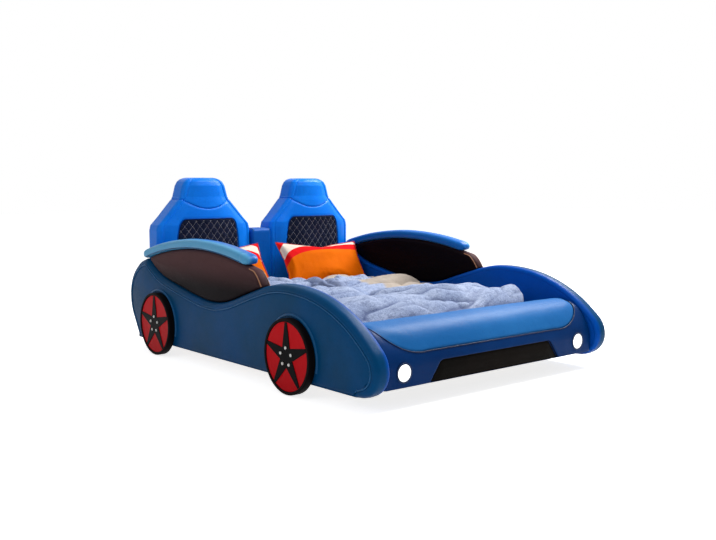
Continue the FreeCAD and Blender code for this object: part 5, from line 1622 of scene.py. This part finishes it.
def makeDuvet():
    rows, columns, length = duvet["rows"], duvet["columns"], duvet["head"] - duvet["foot"]
    u, v = np.meshgrid(np.linspace(-1, 1, columns), np.linspace(0, 1, rows))
    u = (np.sign(u) * (1 - (1 - np.abs(u)) ** duvet["crowding"])).ravel()
    v = v.ravel()
    x, y = u * duvet["half"], duvet["foot"] + v * length
    pull = ripple(np.column_stack([x, y, 0 * x]), *duvet["rimWaves"])
    drawnIn, sharpness = duvet["corner"]
    corner = 1 - drawnIn * (np.abs(u) * np.abs(2 * v - 1)) ** sharpness
    x = x * corner - np.sign(x) * np.abs(pull) * (np.abs(u) > duvet["rimShare"])
    x = x - duvet["right"] * smoothStep(x, *duvet["rightOver"]) * smoothStep(-y, *duvet["rightAlong"])
    middle = (duvet["foot"] + duvet["head"]) / 2
    y = middle + (y - middle) * corner
    height, reverse, inner = duvetHeights(x, y)
    level = height.reshape(rows, columns)
    # painted shade: points lower than the mean of their surroundings darken the cloth, the more the deeper
    # they lie
    around = level.copy()
    for _ in range(duvet["shadeReach"]):
        around[1:-1, 1:-1] = beside(around)
    hollowShade = np.clip((around - level).ravel() / duvet["shadeDeep"], 0, 1)
    # inner carries the rolls' darker patterned side and the painted shade of the hollows
    inner = np.clip(inner * 0.6 + hollowShade, 0, 1)
    rim = np.minimum((1 - np.abs(u)) * duvet["half"], np.minimum(v, 1 - v) * length)
    edge = np.sqrt(1 - (1 - np.clip(rim / duvet["edge"], 0, 1)) ** 2)
    edge *= duvet["edgeLow"] + (1 - duvet["edgeLow"]) * smoothStep(rim, 0.0, duvet["edgeReach"])
    top = (duvet["floor"] + height * edge).reshape(rows, columns)
    # easing takes the stair steps out of the steep sides
    top[1:-1, 1:-1] = top[1:-1, 1:-1] * (1 - duvet["easing"]) + beside(top) * duvet["easing"]
    faces = gridFaces(rows, columns) + [borderOf(rows, columns)]
    piece = makePiece("duvetQuilt", np.column_stack([x, y, top.ravel()]), faces, duvetCloth)
    for name, values in (("reverse", reverse), ("inner", inner)):
        layer = piece.data.attributes.new(name, "FLOAT", "POINT")
        layer.data.foreach_set("value", values.astype(np.float32))
    return piece


dress(makeDuvet(), "duvet")
print("duvet made")


# the CAD solids that stay get their finish

def lampPaint(name, colour, glow):
    paint = Paint(name)
    fine = paint.noise(paint.place(), 240, 3)
    return paint.finish(paint.mix(fine.between(0.4, 0.7) * 0.1, colour, (1, 1, 1)), fine * 0.1 + 0.2,
                        Emission_Color=colour, Emission_Strength=glow)


lensPaint = lampPaint("lensPaint", linear(250, 250, 246), 1.0)
finishes = {
    "_side_core": plywood, "bumper_core": crossPly, "_seat_board": crossPly, "cross_board": crossPly,
    "_ledge": pine, "centre_beam": pine, "slats": pineAcross, "centre_legs": pine, "ledge_screws": zinc,
    "corner_brackets": zinc, "leg_glides": rubberPaint, "side_feet": rubberPaint, "battery_box": batteryPaint,
    "switch_housing": batteryPaint, "switch_button": buttonPaint, "_headlamp_cup": nutPaint,
    "_headlamp_rim": rimPaint, "_headlamp_lens": lensPaint, "_headlamp_led": lensPaint,
}
for name in nodes:
    for ending, paint in finishes.items():
        if name.endswith(ending):
            solid = bpy.data.objects[name]
            solid.data.materials.clear()
            solid.data.materials.append(paint)
print("solids finished")


# floor, lights and camera

studio = {"floorZ": -0.001, "floorSize": 60, "fill": 0.26, "floorGlow": 0.80}
lamps = {  # place, size, power, aimed at
    "keyLight": ((3.6, 0.2, 4.2), 2.4, 330, (0, 0, 0.5)),
    "topLight": ((1.0, -1.6, 4.8), 2.6, 130, (0, -0.5, 0.3)),
    "leftLight": ((-4.8, -0.6, 2.6), 3.0, 34, (0, 0, 0.4)),
}
cameraSetting = {"place": (-3.309, -4.025, 1.002), "azimuth": 50.151, "down": 5.347, "roll": -0.119,
                 "lens": 44.32, "sensor": 36, "farthest": 200}


def floorPaint():
    # white, and lit up for the rays that see the background, so that it runs into the white around it
    paint = Paint("floorPaint")
    where = paint.place()
    tone = paint.mix(paint.noise(where, 0.5, 2) * 0.3, (0.90, 0.90, 0.90), (0.93, 0.93, 0.93))
    glow = paint.mix(paint.seenRays(), (0, 0, 0), (studio["floorGlow"],) * 3)
    return paint.finish(tone, paint.noise(where, 3.0, 2) * 0.1 + 0.85, Emission_Color=glow,
                        Emission_Strength=1.0, Specular_IOR_Level=0.1)


def studioWorld():
    # plain white where it is seen, dimmer where it only gives light
    paint = Paint("studio", bpy.data.worlds.new("studio"))
    strength = paint.seenRays() * (1 - studio["fill"]) + studio["fill"]
    shade = paint.add("ShaderNodeBackground", inputs={"Color": (1, 1, 1), "Strength": strength})
    paint.add("ShaderNodeOutputWorld", inputs={"Surface": shade})
    return paint.owner


def areaLight(name, place, size, power, target):
    light = bpy.data.lights.new(name, "AREA")
    light.shape = "DISK"
    light.size = size
    light.energy = power
    lamp = bpy.data.objects.new(name, light)
    lamp.location = place
    lamp.rotation_euler = (Vector(place) - Vector(target)).to_track_quat("Z", "Y").to_euler()
    bpy.context.scene.collection.objects.link(lamp)


half = studio["floorSize"] / 2
floor = makePiece("floor", [(x, y, studio["floorZ"]) for x, y in
                            ((-half, -half), (half, -half), (half, half), (-half, half))],
                  [[0, 1, 2, 3]], floorPaint(), outwards=False)
for name, facts in lamps.items():
    areaLight(name, *facts)
bpy.context.scene.world = studioWorld()

camera = bpy.data.cameras.new("camera")
camera.lens = cameraSetting["lens"]
camera.sensor_width = cameraSetting["sensor"]
camera.clip_end = cameraSetting["farthest"]
eye = bpy.data.objects.new("camera", camera)
azimuth, down = math.radians(cameraSetting["azimuth"]), math.radians(cameraSetting["down"])
forward = Vector((math.cos(azimuth) * math.cos(down), math.sin(azimuth) * math.cos(down), -math.sin(down)))
turned = forward.to_track_quat("-Z", "Y").to_matrix().to_4x4()
turned = turned @ Matrix.Rotation(math.radians(cameraSetting["roll"]), 4, "Z")
eye.matrix_world = Matrix.Translation(cameraSetting["place"]) @ turned
bpy.context.scene.collection.objects.link(eye)
bpy.context.scene.camera = eye
bpy.context.scene.view_settings.view_transform = "Standard"
print("studio made")
